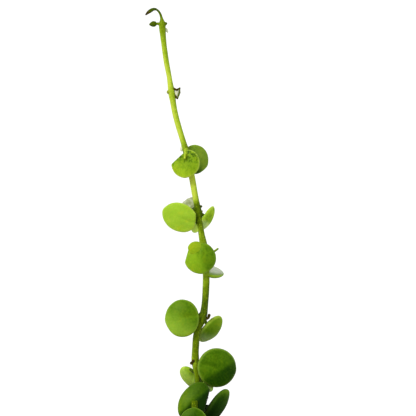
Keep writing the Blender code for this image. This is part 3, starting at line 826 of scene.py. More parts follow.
class Growth(Bench):
    """A geometry node tree being built, with named inputs."""

    def __init__(self, name, inputs):
        super().__init__(bpy.data.node_groups.new(name, "GeometryNodeTree"))
        face = self.tree.interface
        face.new_socket("Geometry", in_out="INPUT", socket_type="NodeSocketGeometry")
        for label, kind in inputs:
            face.new_socket(label, in_out="INPUT", socket_type="NodeSocket" + kind)
        face.new_socket("Geometry", in_out="OUTPUT", socket_type="NodeSocketGeometry")
        self.given = self.node("NodeGroupInput").outputs

    def number(self, name):
        """The number given under that input name."""
        return Value(self, self.given[name])

    def named(self, name, kind="FLOAT"):
        """The attribute of that name."""
        node = self.node("GeometryNodeInputNamedAttribute", {"data_type": kind}, {"Name": name})
        return next(socket for socket in node.outputs if socket.enabled and socket.name == "Attribute")

    def chance(self, low, high, seed, kind="FLOAT"):
        """A random number or vector for each point."""
        suffix = {"FLOAT_VECTOR": "", "FLOAT": "_001", "INT": "_002"}[kind]
        sockets = {"Min" + suffix: low, "Max" + suffix: high, "Seed": seed}
        node = self.node("FunctionNodeRandomValue", {"data_type": kind}, sockets)
        return next(socket for socket in node.outputs if socket.enabled)

    def marked(self, geometry, name, value, domain="POINT", kind="FLOAT"):
        """The geometry with the value kept in a new attribute."""
        settings = {"data_type": kind, "domain": domain}
        sockets = {"Geometry": geometry, "Name": name, "Value": value}
        return self.node("GeometryNodeStoreNamedAttribute", settings, sockets).outputs[0]

    def finish(self, geometry):
        """Ends the tree: what stands on points becomes real, and gets its material."""
        real = self.node("GeometryNodeRealizeInstances", {}, {"Geometry": geometry}).outputs[0]
        sockets = {"Geometry": real, "Material": self.given["Finish"]}
        painted = self.node("GeometryNodeSetMaterial", {}, sockets).outputs[0]
        self.node("NodeGroupOutput", {}, {0: painted})

    def grow(self, obj, name, **inputs):
        """Replaces an object with the plain mesh that this tree makes of it."""
        modifier = obj.modifiers.new("Growth", "NODES")
        modifier.node_group = self.tree
        for item in self.tree.interface.items_tree:
            if item.in_out == "INPUT" and item.name != "Geometry":
                modifier[item.identifier] = inputs[item.name.replace(" ", "_").lower()]
        return plain(obj, name)


def linked(name, mesh, collection=None):
    """A new object with the mesh, in the collection or else in the scene's own."""
    obj = bpy.data.objects.new(name, mesh)
    (collection or bpy.context.scene.collection).objects.link(obj)
    return obj


def plain(obj, name):
    """Replaces an object with the plain mesh that it evaluates to."""
    bpy.context.view_layer.update()
    graph = bpy.context.evaluated_depsgraph_get()
    mesh = bpy.data.meshes.new_from_object(obj.evaluated_get(graph))
    bpy.data.objects.remove(obj)
    mesh.name = name
    return linked(name, mesh)


def settle(obj, slot, *nodes):
    """Ties a finished piece to the frame, where it stands for the CAD nodes."""
    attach(obj, BODY)
    if nodes:
        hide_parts(*nodes)


def store(mesh, name, values, kind="FLOAT"):
    """Puts one value for each vertex into a new attribute of the mesh."""
    layer = mesh.attributes.new(name, kind, "POINT")
    field = "vector" if kind == "FLOAT_VECTOR" else "value"
    flat = values
    if kind != "FLOAT":
        flat = [number for value in values for number in value]
    layer.data.foreach_set(field, flat)


def facing(azimuth, elevation):
    """Unit vector for degrees: azimuth 0 is the front, 90 the right; elevation 90 is up."""
    a, e = math.radians(azimuth), math.radians(elevation)
    return Vector((math.sin(a) * math.cos(e), -math.cos(a) * math.cos(e), math.sin(e)))


def smooth_step(start, end, value):
    """0 up to start and 1 from end on, smooth in between."""
    share = min(1.0, max(0.0, (value - start) / (end - start)))
    return share * share * (3 - 2 * share)


def between(stops, at):
    """The value at a place along (place, value) stops."""
    if at <= stops[0][0]:
        return stops[0][1]
    for (a, low), (b, high) in zip(stops, stops[1:]):
        if at <= b:
            return low + (high - low) * (at - a) / (b - a)
    return stops[-1][1]


def smooth_route(stops, step):
    """(point, radius) pairs a step of radii apart on a smooth curve through (point, radius) stops."""
    fine = []
    last = len(stops) - 1
    for i in range(last):
        ends = [stops[max(i - 1, 0)], stops[i], stops[i + 1], stops[min(i + 2, last)]]
        (p0, _), (p1, r1), (p2, r2), (p3, _) = ends
        for k in range(CURVE_STEPS):
            t = k / CURVE_STEPS
            point = 0.5 * (
                2 * p1
                + (p2 - p0) * t
                + (2 * p0 - 5 * p1 + 4 * p2 - p3) * t * t
                + (3 * p1 - p0 - 3 * p2 + p3) * t * t * t
            )
            fine.append((point, r1 + (r2 - r1) * t))
    fine.append(stops[-1])
    along = [0.0]
    for (a, start), (b, end) in zip(fine, fine[1:]):
        along.append(along[-1] + (b - a).length * 2 / (start + end))
    pieces = max(2, round(along[-1] / step))
    route = []
    k = 0
    for i in range(pieces + 1):
        s = along[-1] * i / pieces
        while k < len(fine) - 2 and along[k + 1] < s:
            k += 1
        t = (s - along[k]) / (along[k + 1] - along[k])
        route.append((fine[k][0].lerp(fine[k + 1][0], t), fine[k][1] + (fine[k + 1][1] - fine[k][1]) * t))
    return route


def rounded_end(route):
    """The route with a rounded end instead of a flat one."""
    end, radius = route[-1]
    way = (end - route[-2][0]).normalized()
    return route + [(end + way * past * radius, radius * width) for past, width in ROUNDED_END]


class Routes:
    """Lines that stems, stalks and rootlets follow, with a girth, tone and bark at each point."""

    def __init__(self):
        self.points = []
        self.edges = []
        self.marks = {"girth": [], "tone": [], "bark": [], "along": []}

    def add(self, route, tone, bark):
        """Adds (point, radius) pairs. The tone and the bark are functions of a point."""
        start = len(self.points)
        along = 0.0
        for i, (point, radius) in enumerate(route):
            if i:
                along += (point - self.points[-1]).length
                self.edges.append((start + i - 1, start + i))
            self.points.append(point)
            marks = {"girth": radius, "tone": tone(point), "bark": bark(point), "along": along}
            for name, value in marks.items():
                self.marks[name].append(value)

    def as_object(self):
        mesh = bpy.data.meshes.new("routes")
        mesh.from_pydata(self.points, self.edges, [])
        for name, values in self.marks.items():
            store(mesh, name, values)
        return linked("routes", mesh)


class Blades:
    """Leaf blades gathered into one mesh, with what their finish reads at each point."""

    def __init__(self):
        self.points = []
        self.faces = []
        self.marks = {"tone": [], "rim": [], "back": [], "bloom": [], "mottle": [], "warm": []}
        self.places = []

    def add(self, leaf, look, grid, seed, edge, crumple=(0.0, 0.0)):
        """Adds a blade shaped from a sphere, whose z runs from 1 on its upper side to -1 on its lower one."""
        segments, rings = grid
        along, across, face = leaf_axes(leaf)
        half = leaf.length / 2
        lit = Vector((math.cos(math.radians(look.turn)), 0, math.sin(math.radians(look.turn))))
        start = len(self.points)
        for ring in range(rings + 1):
            polar = math.pi * ring / rings
            reach, z = math.sin(polar), math.cos(polar)
            for k in range(segments if 0 < ring < rings else 1):
                angle = math.tau * k / segments - math.pi
                from_middle = reach * edge_share(leaf, angle, seed)
                u, v = torn_back(from_middle * math.cos(angle), from_middle * math.sin(angle), leaf.torn)
                height = blade_height(leaf, u, v, reach, z, seed, edge)
                height += crumple[0] * BLADE_THICKNESS * half * uneven((u, v, seed), CRUMPLE_WAVES[0])
                shift = crumple[1] * uneven((v, u, seed + 5), CRUMPLE_WAVES[1])
                u += shift
                v -= shift
                offset = along * (u * half) + across * (v * leaf.width / 2)
                painted_shading = smooth_step(look.start, look.end, offset.dot(lit) / half)
                self.points.append(leaf.middle + offset + face * height)
                self.places.append((u, v, seed))
                # Painted shading: the tone fades along the look's direction and falls to the right, as light
                # from the left would make it; the rim adds a painted highlight to a paler margin, and the
                # bloom, wax with a painted sheen, is left off where the tone has faded.
                marks = {
                    "tone": look.tone + (look.far - look.tone) * painted_shading - look.slope * offset.x / half,
                    "rim": look.rim * smooth_step(*RIM_BAND, reach),
                    "back": smooth_step(*BACK_BAND, z),
                    "bloom": look.bloom * smooth_step(*WAX_AND_SHEEN_BAND, abs(z)) * (1 - painted_shading),
                    "mottle": look.mottle * max(smooth_step(*MOTTLE_BAND, u), near_tear(u, v, leaf.torn)),
                    "warm": look.warm,
                }
                for name, value in marks.items():
                    self.marks[name].append(value)
        self.faces += sphere_faces(start, segments, rings)

    def as_object(self, name, collection=None):
        mesh = bpy.data.meshes.new(name)
        mesh.from_pydata(self.points, [], self.faces)
        for mark, values in self.marks.items():
            store(mesh, mark, values)
        store(mesh, "blade", self.places, "FLOAT_VECTOR")
        mesh.shade_smooth()
        return linked(name, mesh, collection)


def uneven(place, waves):
    """Smooth noise from -1 to 1 at a place, with so many waves to a unit."""
    return noise.noise(Vector(place) * waves)


def edge_share(leaf, angle, seed):
    """Distance from the middle of a leaf to its uneven edge, which has a point if the leaf is a small one."""
    wobble = uneven((math.cos(angle), math.sin(angle), seed), OUTLINE_WAVES)
    share = outline(angle, leaf.notch) * (1 + OUTLINE_WOBBLE * wobble)
    if leaf.length < SMALL_BLADE * MM:
        share += SMALL_TIP * math.exp(-((angle / SMALL_TIP_WIDTH) ** 2))
    return share


def blade_height(leaf, u, v, reach, z, seed, edge):
    """Height of a blade over the plane of its leaf: thick, cupped or domed, with a crease and raised edge."""
    half = leaf.length / 2
    half_thickness = BLADE_THICKNESS * half
    swell = math.copysign(abs(z) ** BLADE_FULLNESS, z) if abs(z) > WELD else 0.0
    height = swell * half_thickness + leaf.cup * half * reach**2
    height += uneven((u, v, seed), SWELL_WAVES) * SWELL_HEIGHT * half * reach
    if z > 0:
        crease = smooth_step(*CREASE_BAND, u) * math.exp(-((v / CREASE_WIDTH) ** 2))
        height -= CREASE_DEPTH * half_thickness * crease * z
        height += edge * math.exp(-(((reach - RAISED_EDGE_REACH) / RAISED_EDGE_WIDTH) ** 2))
    return height


def sphere_faces(start, segments, rings):
    """Outward faces of a sphere whose points run ring by ring from its top point to its bottom point."""
    faces = []
    first = start + 1
    last = first + segments * (rings - 1)
    for k in range(segments):
        after = (k + 1) % segments
        faces.append((start, first + k, first + after))
        faces.append((last, last - segments + after, last - segments + k))
        for ring in range(rings - 2):
            a = first + ring * segments
            b = a + segments
            faces.append((a + k, b + k, b + after, a + after))
    return faces


def outline(angle, notch_depth):
    """Distance from a blade's middle to its edge in half lengths; angle 0 points to the tip."""
    from_foot = math.pi - abs(angle)
    notch = notch_depth * math.exp(-((from_foot / NOTCH_WIDTH) ** 2))
    rise = TIP_RISE * math.exp(-((angle / TIP_WIDTH) ** 2))
    return 1 - notch + rise


def torn_back(u, v, torn):
    """A point of a torn blade past the line of the tear is drawn back to it."""
    if torn is None:
        return u, v
    angle, share = math.radians(torn[0]), torn[1]
    past = u * math.cos(angle) + v * math.sin(angle) - share
    if past > 0:
        u -= TEAR_PULL * past * math.cos(angle)
        v -= TEAR_PULL * past * math.sin(angle)
    return u, v


def near_tear(u, v, torn):
    """How mottled a blade is for its torn edge: most at the tear, and least far from it."""
    if torn is None:
        return LEAST_MOTTLE
    angle, share = math.radians(torn[0]), torn[1]
    from_tear = share - u * math.cos(angle) - v * math.sin(angle)
    return max(LEAST_MOTTLE, TEAR_MOTTLE * smooth_step(*TEAR_BAND, from_tear))


def leaf_axes(leaf):
    """Unit vectors of a leaf: from foot to tip, across, and out of its upper side."""
    face = leaf.face.normalized()
    along = (leaf.tip - face * leaf.tip.dot(face)).normalized()
    return along, face.cross(along), face


def stalk_route(leaf):
    """The stalk of a leaf, from inside the stem to inside the blade, wider where it leaves the stem."""
    along, _, face = leaf_axes(leaf)
    foot_share = outline(math.pi, leaf.notch)
    rim = leaf.middle - along * (foot_share * leaf.length / 2)
    rim += face * (leaf.cup * leaf.length / 2 * foot_share**2)
    end = rim + along * min(STALK_SINK, leaf.length / 4)
    radius = min(STALK_RADIUS, BLADE_THICKNESS * leaf.length / 2)
    route = []
    for i in range(STALK_RINGS):
        share = i / (STALK_RINGS - 1)
        girth = STALK_GIRTH + STALK_FLARE * (1 - share) ** 3 - STALK_TAPER * share
        route.append((leaf.foot.lerp(end, share), radius * girth))
    return route


def above_mix(x, y, height):
    """A point given in mm from the pot's axis and above the mix, in metres."""
    return Vector((x * MM, y * MM, MIX_TOP + height * MM))


def node_nearness(point):
    """1 at a node of the climbing stem, and 0 away from it."""
    near = min(abs(point.z - MIX_TOP - node * MM) for node in CLIMBING_NODES)
    return math.exp(-((near / NODE_SPREAD) ** 2))


def climbing_route():
    """The climbing stem's centreline, swollen at its nodes."""
    stops = [(above_mix(s.x, s.y, s.height), s.radius * MM) for s in CLIMBING_ROUTE]
    return [
        (place, radius * (1 + NODE_SWELL * node_nearness(place)))
        for place, radius in smooth_route(stops, LONG_STEM_STEP)
    ]


def at_height(route, height):
    """The point of an upright route at a height above the mix, in mm."""
    level = MIX_TOP + height * MM
    for (a, _), (b, _) in zip(route, route[1:]):
        if a.z <= level <= b.z:
            return a.lerp(b, (level - a.z) / (b.z - a.z))
    raise ValueError(f"the stem never reaches {height} mm")


def spur_route(spur):
    """The route of a rootlet, scar or bud in metres. A brown one has a rounded end."""
    last = len(spur.points) - 1
    stops = []
    for i, point in enumerate(spur.points):
        radius = spur.radius + (spur.end_radius - spur.radius) * i / last
        stops.append((above_mix(*point), radius * MM))
    route = smooth_route(stops, LONG_STEM_STEP)
    return rounded_end(route) if spur.bark else route


def grown(route, spec):
    """The leaf that a line of the climbing shoot's table describes, in metres."""
    foot = at_height(route, spec.node)
    return Leaf(
        foot,
        foot + Vector(spec.offset) * MM,
        facing(*spec.face),
        Vector(spec.tip),
        spec.length * MM,
        spec.width * MM,
        spec.cup,
        spec.notch,
        spec.torn,
    )


def low_route(shoot):
    """A low shoot leaves the mix upright, then follows its bearing, which bends as it goes out."""
    last = len(shoot.route) - 1
    stops = []
    for i, (reach, height) in enumerate(shoot.route):
        share = (i / last) ** 2
        bearing = math.radians(shoot.bearing + shoot.bend * share)
        place = above_mix(reach * math.cos(bearing), reach * math.sin(bearing), height)
        stops.append((place, LOW_STEM_RADIUS + (LOW_TIP_RADIUS - LOW_STEM_RADIUS) * share))
    return smooth_route(stops, LOW_STEM_STEP)


def distances(route):
    """Distance along a route to each of its points."""
    along = [0.0]
    for (a, _), (b, _) in zip(route, route[1:]):
        along.append(along[-1] + (b - a).length)
    return along


def place_along(route, along, distance):
    """The point at a distance along a route, and the route's direction there."""
    k = 0
    while k < len(route) - 2 and along[k + 1] < distance:
        k += 1
    start, end = route[k][0], route[k + 1][0]
    share = (distance - along[k]) / (along[k + 1] - along[k])
    return start.lerp(end, share), (end - start).normalized()


def low_leaves(shoot, route):
    """Opposite pairs along a low shoot as (leaf, age), smaller and closer towards its growing tip."""
    draw = random.Random(shoot.seed)
    along = distances(route)
    leaves = []
    distance = LOW_FIRST_LEAF
    while distance < along[-1] - LOW_LAST_LEAF:
        foot, run = place_along(route, along, distance)
        out = Vector((foot.x, foot.y, 0)).normalized() + Vector((0, 0, 1))
        out = (out - run * out.dot(run)).normalized()
        side = run.cross(out)
        age = min(1.0, (along[-1] - distance) / LOW_YOUNG_SPAN)
        size = shoot.leaf_size * MM * (LOW_YOUNGEST + (1 - LOW_YOUNGEST) * age)
        for hand in (-1, 1):
            length = size * draw.uniform(*LOW_LENGTHS)
            tip = side * hand + run * draw.uniform(*LOW_TIP_LEAN) + out * draw.uniform(*LOW_TIP_LIFT)
            tip.normalize()
            face = out - side * hand * draw.uniform(*LOW_FACE_LEAN) + run * draw.uniform(*LOW_FACE_TIP)
            middle = foot + tip * (length / 2 + LOW_LEAF_STALK) + out * LOW_LEAF_LIFT
            width = length * draw.uniform(*LOW_WIDTHS)
            leaf = Leaf(foot, middle, face, tip, length, width, LOW_DOME, LOW_NOTCH, None)
            leaves.append((leaf, age))
        distance += LOW_LEAF_STEP * (LOW_YOUNGEST_STEP + (1 - LOW_YOUNGEST_STEP) * age)
    return leaves


def mix_surface(x, y):
    """Height of the mix: a low crown towards the middle, with lumps where the bark lies."""
    reach = min(1.0, math.hypot(x, y) / pot_inner_radius(MIX_TOP))
    lumps = noise.noise(Vector((x, y, 0)) / MIX_LUMP_SIZE)
    lumps += FINER_LUMPS[0] * noise.noise(Vector((x, y, MIX_TOP)) / MIX_LUMP_SIZE * FINER_LUMPS[1])
    crumbs = noise.noise(Vector((x, y, 0)) / MIX_CRUMB_SIZE)
    crumbs += FINER_CRUMBS[0] * noise.noise(Vector((y, x, 1)) / MIX_CRUMB_SIZE * FINER_CRUMBS[1])
    crown = MIX_CROWN * (1 - reach**2)
    return MIX_TOP + crown + (MIX_LUMP * lumps + MIX_CRUMB * crumbs) * (1 - reach**6)


def pot_inner_radius(height):
    """The inside of the pot is one straight taper from its floor to its rim."""
    share = (height - POT_FLOOR) / (POT_HEIGHT - POT_FLOOR)
    floor_radius = POT_BASE_RADIUS - POT_WALL + POT_INSIDE_DRAFT
    rim_radius = POT_RIM_RADIUS - POT_WALL - POT_INSIDE_DRAFT
    return floor_radius + (rim_radius - floor_radius) * share


def rounded_profile(corners, step, arc=6):
    """Points along a line of (radius, height, rounding) corners, no further than a step apart."""
    drawn = [Vector(corners[0][:2])]
    for before, corner, after in zip(corners, corners[1:], corners[2:]):
        middle = Vector(corner[:2])
        into = (Vector(before[:2]) - middle).normalized() * corner[2]
        out = (Vector(after[:2]) - middle).normalized() * corner[2]
        for k in range(arc + 1):
            t = k / arc
            drawn.append(middle + into * (1 - t) ** 2 + out * t**2)
    drawn.append(Vector(corners[-1][:2]))
    fine = [drawn[0]]
    for a, b in zip(drawn, drawn[1:]):
        pieces = max(1, math.ceil((b - a).length / step))
        fine += [a.lerp(b, (k + 1) / pieces) for k in range(pieces)]
    return fine


def turned(name, profile, sides):
    """A closed solid of revolution about Z, from (radius, height) points that run from axis to axis."""
    inner = profile[1:-1]
    points = [(0, 0, profile[0].y)]
    for radius, height in inner:
        for k in range(sides):
            angle = math.tau * k / sides
            points.append((radius * math.cos(angle), radius * math.sin(angle), height))
    points.append((0, 0, profile[-1].y))
    mesh = bpy.data.meshes.new(name)
    mesh.from_pydata(points, [], sphere_faces(0, sides, len(inner) + 1))
    mesh.shade_smooth()
    return linked(name, mesh)


def leaf_finish(looks, name="leaf_green"):
    """A waxy leaf: deep or bright green by its tone, with painted light and shade in that tone, a paler edge
    and midrib that are partly painted highlights, mottles, wax bloom that is partly a painted sheen, and a
    dull back.
    """
    leaf = Finish(name)
    tone, rim, back = leaf.number("tone"), leaf.number("rim"), leaf.number("back")
    blade = leaf.vector("blade")
    u, v, _ = leaf.parts(blade)
    broad = leaf.cloud(260, 3)
    fine = leaf.cloud(1500, 3)
    streaks = leaf.cloud(1.0, 4, leaf.stretched(blade, (1.6, 7.0, 3.0)), 0.6, 0.6)
    spots = leaf.cloud(4.2, 3, blade, 0.6)
    mottle = leaf.number("mottle") * (streaks.step(0.42, 0.75) * 0.5 + spots.step(0.42, 0.72))
    # A paler midrib that is partly a painted highlight along the crease.
    vein_and_crease_highlight = (1 - abs(v * 9.0).least(1.0)) * (0.2 - u).step(0.0, 0.8) * (1 - back)
    speckle = (broad - 0.5) * 0.24 + (fine - 0.5) * 0.2
    shade = tone + speckle + rim * 0.16 - mottle * 0.3 + vein_and_crease_highlight * 0.07 + back * 0.05
    green = leaf.colours(
        shade * 0.8,
        (
            (0.0, tuple(looks.leaf_deep)),
            (0.12, tuple(looks.leaf_shaded)),
            (0.28, tuple(looks.leaf_middle)),
            (0.48, tuple(looks.leaf_fresh)),
            (0.8, tuple(looks.leaf_bright)),
            (1.0, tuple(looks.leaf_lit)),
        ),
    )
    mellow = leaf.cloud(520, 3, roughness=0.6).step(0.48, 0.72) * 0.18
    yellowed = leaf.blend(leaf.number("warm") + mellow, green, WARMTH, "MULTIPLY")
    # A paler margin that is partly a painted edge highlight.
    pale_and_lit_edge = leaf.blend(rim * 0.2, yellowed, (0.25, 0.33, 0.06))
    # Wax bloom that is partly a painted sheen.
    bloom = leaf.number("bloom") * (broad * 0.5 + fine * 0.6 + 0.25)
    waxed_and_sheened = leaf.blend(bloom, pale_and_lit_edge, tuple(looks.leaf_bloom))
    skin = leaf.bump(leaf.cloud(5200, 2), 0.02 * MM)
    grain = leaf.bump(leaf.cells(2600), 0.012 * MM, skin)
    swells = leaf.bump(streaks, 0.05 * MM, grain)
    rough = looks.leaf_roughness + (fine - 0.5) * 0.16 + back * 0.4 + bloom * 0.15
    return leaf.done(
        waxed_and_sheened,
        rough,
        swells,
        Specular_IOR_Level=0.12,
        Specular_Tint=WAX_TINT,
        Subsurface_Weight=0.1,
        Subsurface_Scale=0.8 * MM,
        Subsurface_Radius=(0.5, 1.0, 0.1),
    )


def stem_finish(looks, name="stem_green", painted_side_light=0.0):
    """A fleshy stem: lengthwise streaks, pale dots, painted light on its left side and painted shade on its
    right, by so much as is asked, and brown where it turned to bark.
    """
    stem = Finish(name)
    tone, bark, along = stem.number("tone"), stem.number("bark"), stem.number("along")
    around = stem.stretched(stem.vector("around"), (1.0, 1.0, 0.0))
    length = stem.node("ShaderNodeCombineXYZ", {}, {"Z": along * 55.0}).outputs[0]
    skin = stem.node("ShaderNodeVectorMath", {"operation": "ADD"}, {0: around, 1: length}).outputs["Vector"]
    streaks = stem.cloud(2.4, 3, skin, 0.55)
    broad = stem.cloud(230, 2)
    fine = stem.cloud(2200, 3)
    mottle = stem.cloud(950, 3)
    dots = 1 - stem.cells(1250).step(0.14, 0.3)
    # Painted light on the stem's left side and painted shade on its right.
    painted_light_by_side = 1 - stem.number("side") * painted_side_light
    speckle = (fine - 0.5) * 0.3 + (mottle - 0.5) * 0.4 + (broad - 0.5) * 0.2 + dots * 0.25
    shade = tone * painted_light_by_side + (streaks - 0.5) * 0.4 + speckle
    green = stem.colours(
        shade,
        (
            (0.0, tuple(looks.stem_deep)),
            (0.35, tuple(looks.stem_middle)),
            (0.7, tuple(looks.stem_fresh)),
            (1.0, tuple(looks.stem_bright)),
        ),
    )
    brown = stem.blend(fine.step(0.35, 0.7), tuple(looks.bark), (0.085, 0.060, 0.008))
    worn = (bark + (fine - 0.5) * 0.5 * bark.step(0.0, 0.3)).step(0.2, 0.8)
    colour = stem.blend(worn, green, brown)
    ridges = stem.bump(streaks, 0.05 * MM)
    grain = stem.bump(fine, 0.03 * MM, ridges)
    rough = 0.42 + (fine - 0.5) * 0.15 + worn * 0.35
    return stem.done(
        colour,
        rough,
        grain,
        Specular_IOR_Level=0.12,
        Specular_Tint=WAX_TINT,
        Subsurface_Weight=0.1,
        Subsurface_Scale=0.6 * MM,
        Subsurface_Radius=(0.6, 1.0, 0.15),
    )


def withered_finish():
    """A dry, papery leaf with brown blotches."""
    dry = Finish("withered_leaf")
    broad = dry.cloud(700, 3)
    fine = dry.cloud(3200, 3)
    colour = dry.colours(
        dry.number("tone") * 0.8 + (broad - 0.5) * 0.9 + 0.1,
        (
            (0.0, srgb(66, 74, 30)),
            (0.35, srgb(146, 154, 108)),
            (0.65, srgb(186, 190, 164)),
            (0.9, srgb(242, 240, 186)),
        ),
    )
    edge = dry.blend(dry.number("rim") * 0.3, colour, srgb(120, 118, 70))
    height = dry.bump(broad, 0.12 * MM)
    grain = dry.bump(fine, 0.04 * MM, height)
    return dry.done(edge, 0.7 + (fine - 0.5) * 0.2, grain, Specular_IOR_Level=0.3)


def clay_finish(looks):
    """Fired clay with pores, a darker damp foot, worn edges and a mineral bloom."""
    clay = Finish("terracotta")
    x, y, z = clay.parts(clay.place)
    radius = (x * x + y * y) ** 0.5
    broad = clay.cloud(38, 4)
    patches = clay.cloud(95, 5, roughness=0.62, distortion=0.4)
    fine = clay.cloud(900, 4)
    speck = clay.cloud(2600, 2)
    pores = 1 - clay.cells(520).step(0.05, 0.2)
    inside = 1 - (radius - z * 0.18).step(POT_BASE_RADIUS - 3.2 * MM, POT_BASE_RADIUS - 2.2 * MM)
    warm = clay.colours(
        broad * 0.55 + fine * 0.45,
        (
            (0.25, tuple(part * 0.62 for part in looks.clay)),
            (0.5, tuple(looks.clay)),
            (0.75, tuple(min(1.0, part * 1.28 + 0.02) for part in looks.clay)),
        ),
    )
    damp = (1 - (z + (broad - 0.5) * 22 * MM).step(4 * MM, 24 * MM)) * 0.5
    wet = clay.blend(damp, warm, (0.21, 0.065, 0.030))
    band = z.step(12 * MM, 30 * MM) * (1 - z.step(52 * MM, 66 * MM))
    bloom = (patches + band * 0.1).step(0.55, 0.86) * (0.3 + fine * 0.5)
    powdered = clay.blend(bloom * 0.7, wet, tuple(looks.mineral))
    rim = z.step(POT_HEIGHT - 1.6 * MM, POT_HEIGHT - 0.3 * MM) + (1 - z.step(0.2 * MM, 1.6 * MM))
    worn = clay.blend(rim * (0.25 + speck * 0.5), powdered, (0.62, 0.27, 0.14))
    mix_line = z.step(66 * MM, 73 * MM).least(1 - z.step(70 * MM, 76 * MM))
    stained = clay.blend(inside * mix_line * 0.6, worn, (0.1, 0.06, 0.04))
    dotted = clay.blend(pores * 0.55, stained, (0.12, 0.045, 0.025))
    relief = clay.bump(fine, 0.12 * MM)
    grain = clay.bump(speck - pores * 0.8, 0.07 * MM, relief)
    rough = 0.78 + (fine - 0.5) * 0.2 + bloom * 0.12 - damp * 0.2
    return clay.done(dotted, rough, grain, Specular_IOR_Level=0.3)


def chip_finish(looks):
    """Bark chips: fibres, a tone for each chip, and paler streaks."""
    chip = Finish("bark_chips")
    tone = chip.number("tone")
    fibres = chip.cloud(1.0, 4, chip.stretched(chip.place, (420.0, 1500.0, 900.0)), 0.6, 0.5)
    broad = chip.cloud(330, 3)
    colour = chip.colours(
        tone * 0.6 + (fibres - 0.5) * 0.9 + broad * 0.3,
        (
            (0.0, tuple(part * 0.28 for part in looks.bark)),
            (0.45, tuple(looks.bark)),
            (1.0, (0.36, 0.215, 0.115)),
        ),
    )
    relief = chip.bump(fibres, 0.25 * MM)
    return chip.done(colour, 0.86 + (broad - 0.5) * 0.15, relief, Specular_IOR_Level=0.25)


def soil_finish(looks):
    """The fine, damp mix between the chips."""
    soil = Finish("fine_mix")
    grains = soil.cloud(1100, 4, roughness=0.7)
    broad = soil.cloud(160, 3)
    colour = soil.colours(
        grains * 0.6 + broad * 0.4,
        (
            (0.3, tuple(part * 0.4 for part in looks.soil)),
            (0.52, tuple(looks.soil)),
            (0.75, (0.10, 0.062, 0.036)),
        ),
    )
    relief = soil.bump(grains, 0.5 * MM)
    return soil.done(colour, 0.9 + (broad - 0.5) * 0.12, relief, Specular_IOR_Level=0.25)


def grit_finish(looks):
    """Pale pumice with pores."""
    grit = Finish("pumice_grit")
    pores = 1 - grit.cells(1500).step(0.1, 0.32)
    fine = grit.cloud(1300, 3)
    pale = grit.colours(
        fine * 0.6 + grit.number("tone") * 0.4,
        (
            (0.25, tuple(part * 0.55 for part in looks.grit)),
            (0.75, tuple(min(1.0, part * 1.15) for part in looks.grit)),
        ),
    )
    colour = grit.blend(pores * 0.6, pale, (0.16, 0.13, 0.10))
    relief = grit.bump(fine - pores * 0.7, 0.15 * MM)
    return grit.done(colour, 0.9 + (fine - 0.5) * 0.1, relief, Specular_IOR_Level=0.2)


def stem_growth():
    """Geometry nodes: a round stem along every line of a mesh, as thick as its girth, with rounded bumps."""
    inputs = (("Sides", "Int"), ("Unevenness", "Float"), ("Bump size", "Float"), ("Finish", "Material"))
    stem = Growth("Stem along a route", inputs)
    line = stem.node("GeometryNodeMeshToCurve", {}, {"Mesh": stem.given["Geometry"]}).outputs[0]
    sockets = {"Resolution": stem.given["Sides"], "Radius": 1.0}
    ring = stem.node("GeometryNodeCurvePrimitiveCircle", {}, sockets)
    spot = stem.node("GeometryNodeInputPosition").outputs[0]
    normal = stem.node("GeometryNodeInputNormal").outputs[0]
    section = stem.marked(ring.outputs[0], "around", spot, kind="FLOAT_VECTOR")
    sockets = {"Curve": line, "Profile Curve": section, "Scale": stem.named("girth"), "Fill Caps": True}
    bare = stem.node("GeometryNodeCurveToMesh", {}, sockets).outputs[0]
    tube = stem.marked(bare, "side", stem.parts(normal)[0])
    sockets = {"Scale": 1.0 / stem.number("Bump size"), "Detail": 2.0, "Vector": spot}
    bumps = Value(stem, stem.node("ShaderNodeTexNoise", {}, sockets).outputs[0])
    height = (bumps - 0.5) * stem.number("Unevenness")
    scaled = stem.node("ShaderNodeVectorMath", {"operation": "SCALE"}, {0: normal, "Scale": height})
    moved = stem.node("GeometryNodeSetPosition", {}, {"Geometry": tube, "Offset": scaled.outputs["Vector"]})
    smooth = stem.node("GeometryNodeSetShadeSmooth", {}, {"Geometry": moved.outputs[0]})
    stem.finish(smooth.outputs[0])
    return stem


def leaf_growth():
    """Geometry nodes: one of several blades on each point, turned and sized as the point says."""
    inputs = (("Blades", "Collection"), ("Kinds", "Int"), ("Seed", "Int"), ("Finish", "Material"))
    leaves = Growth("Leaves on points", inputs)
    last = leaves.number("Kinds") - 1
    sockets = {"Collection": leaves.given["Blades"], "Separate Children": True, "Reset Children": True}
    blades = leaves.node("GeometryNodeCollectionInfo", {}, sockets).outputs[0]
    sockets = {
        "Points": leaves.given["Geometry"],
        "Instance": blades,
        "Pick Instance": True,
        "Instance Index": leaves.chance(0, last, leaves.given["Seed"], "INT"),
        "Rotation": leaves.named("turn", "QUATERNION"),
        "Scale": leaves.named("size", "FLOAT_VECTOR"),
    }
    leaves.finish(leaves.node("GeometryNodeInstanceOnPoints", {}, sockets).outputs[0])
    return leaves


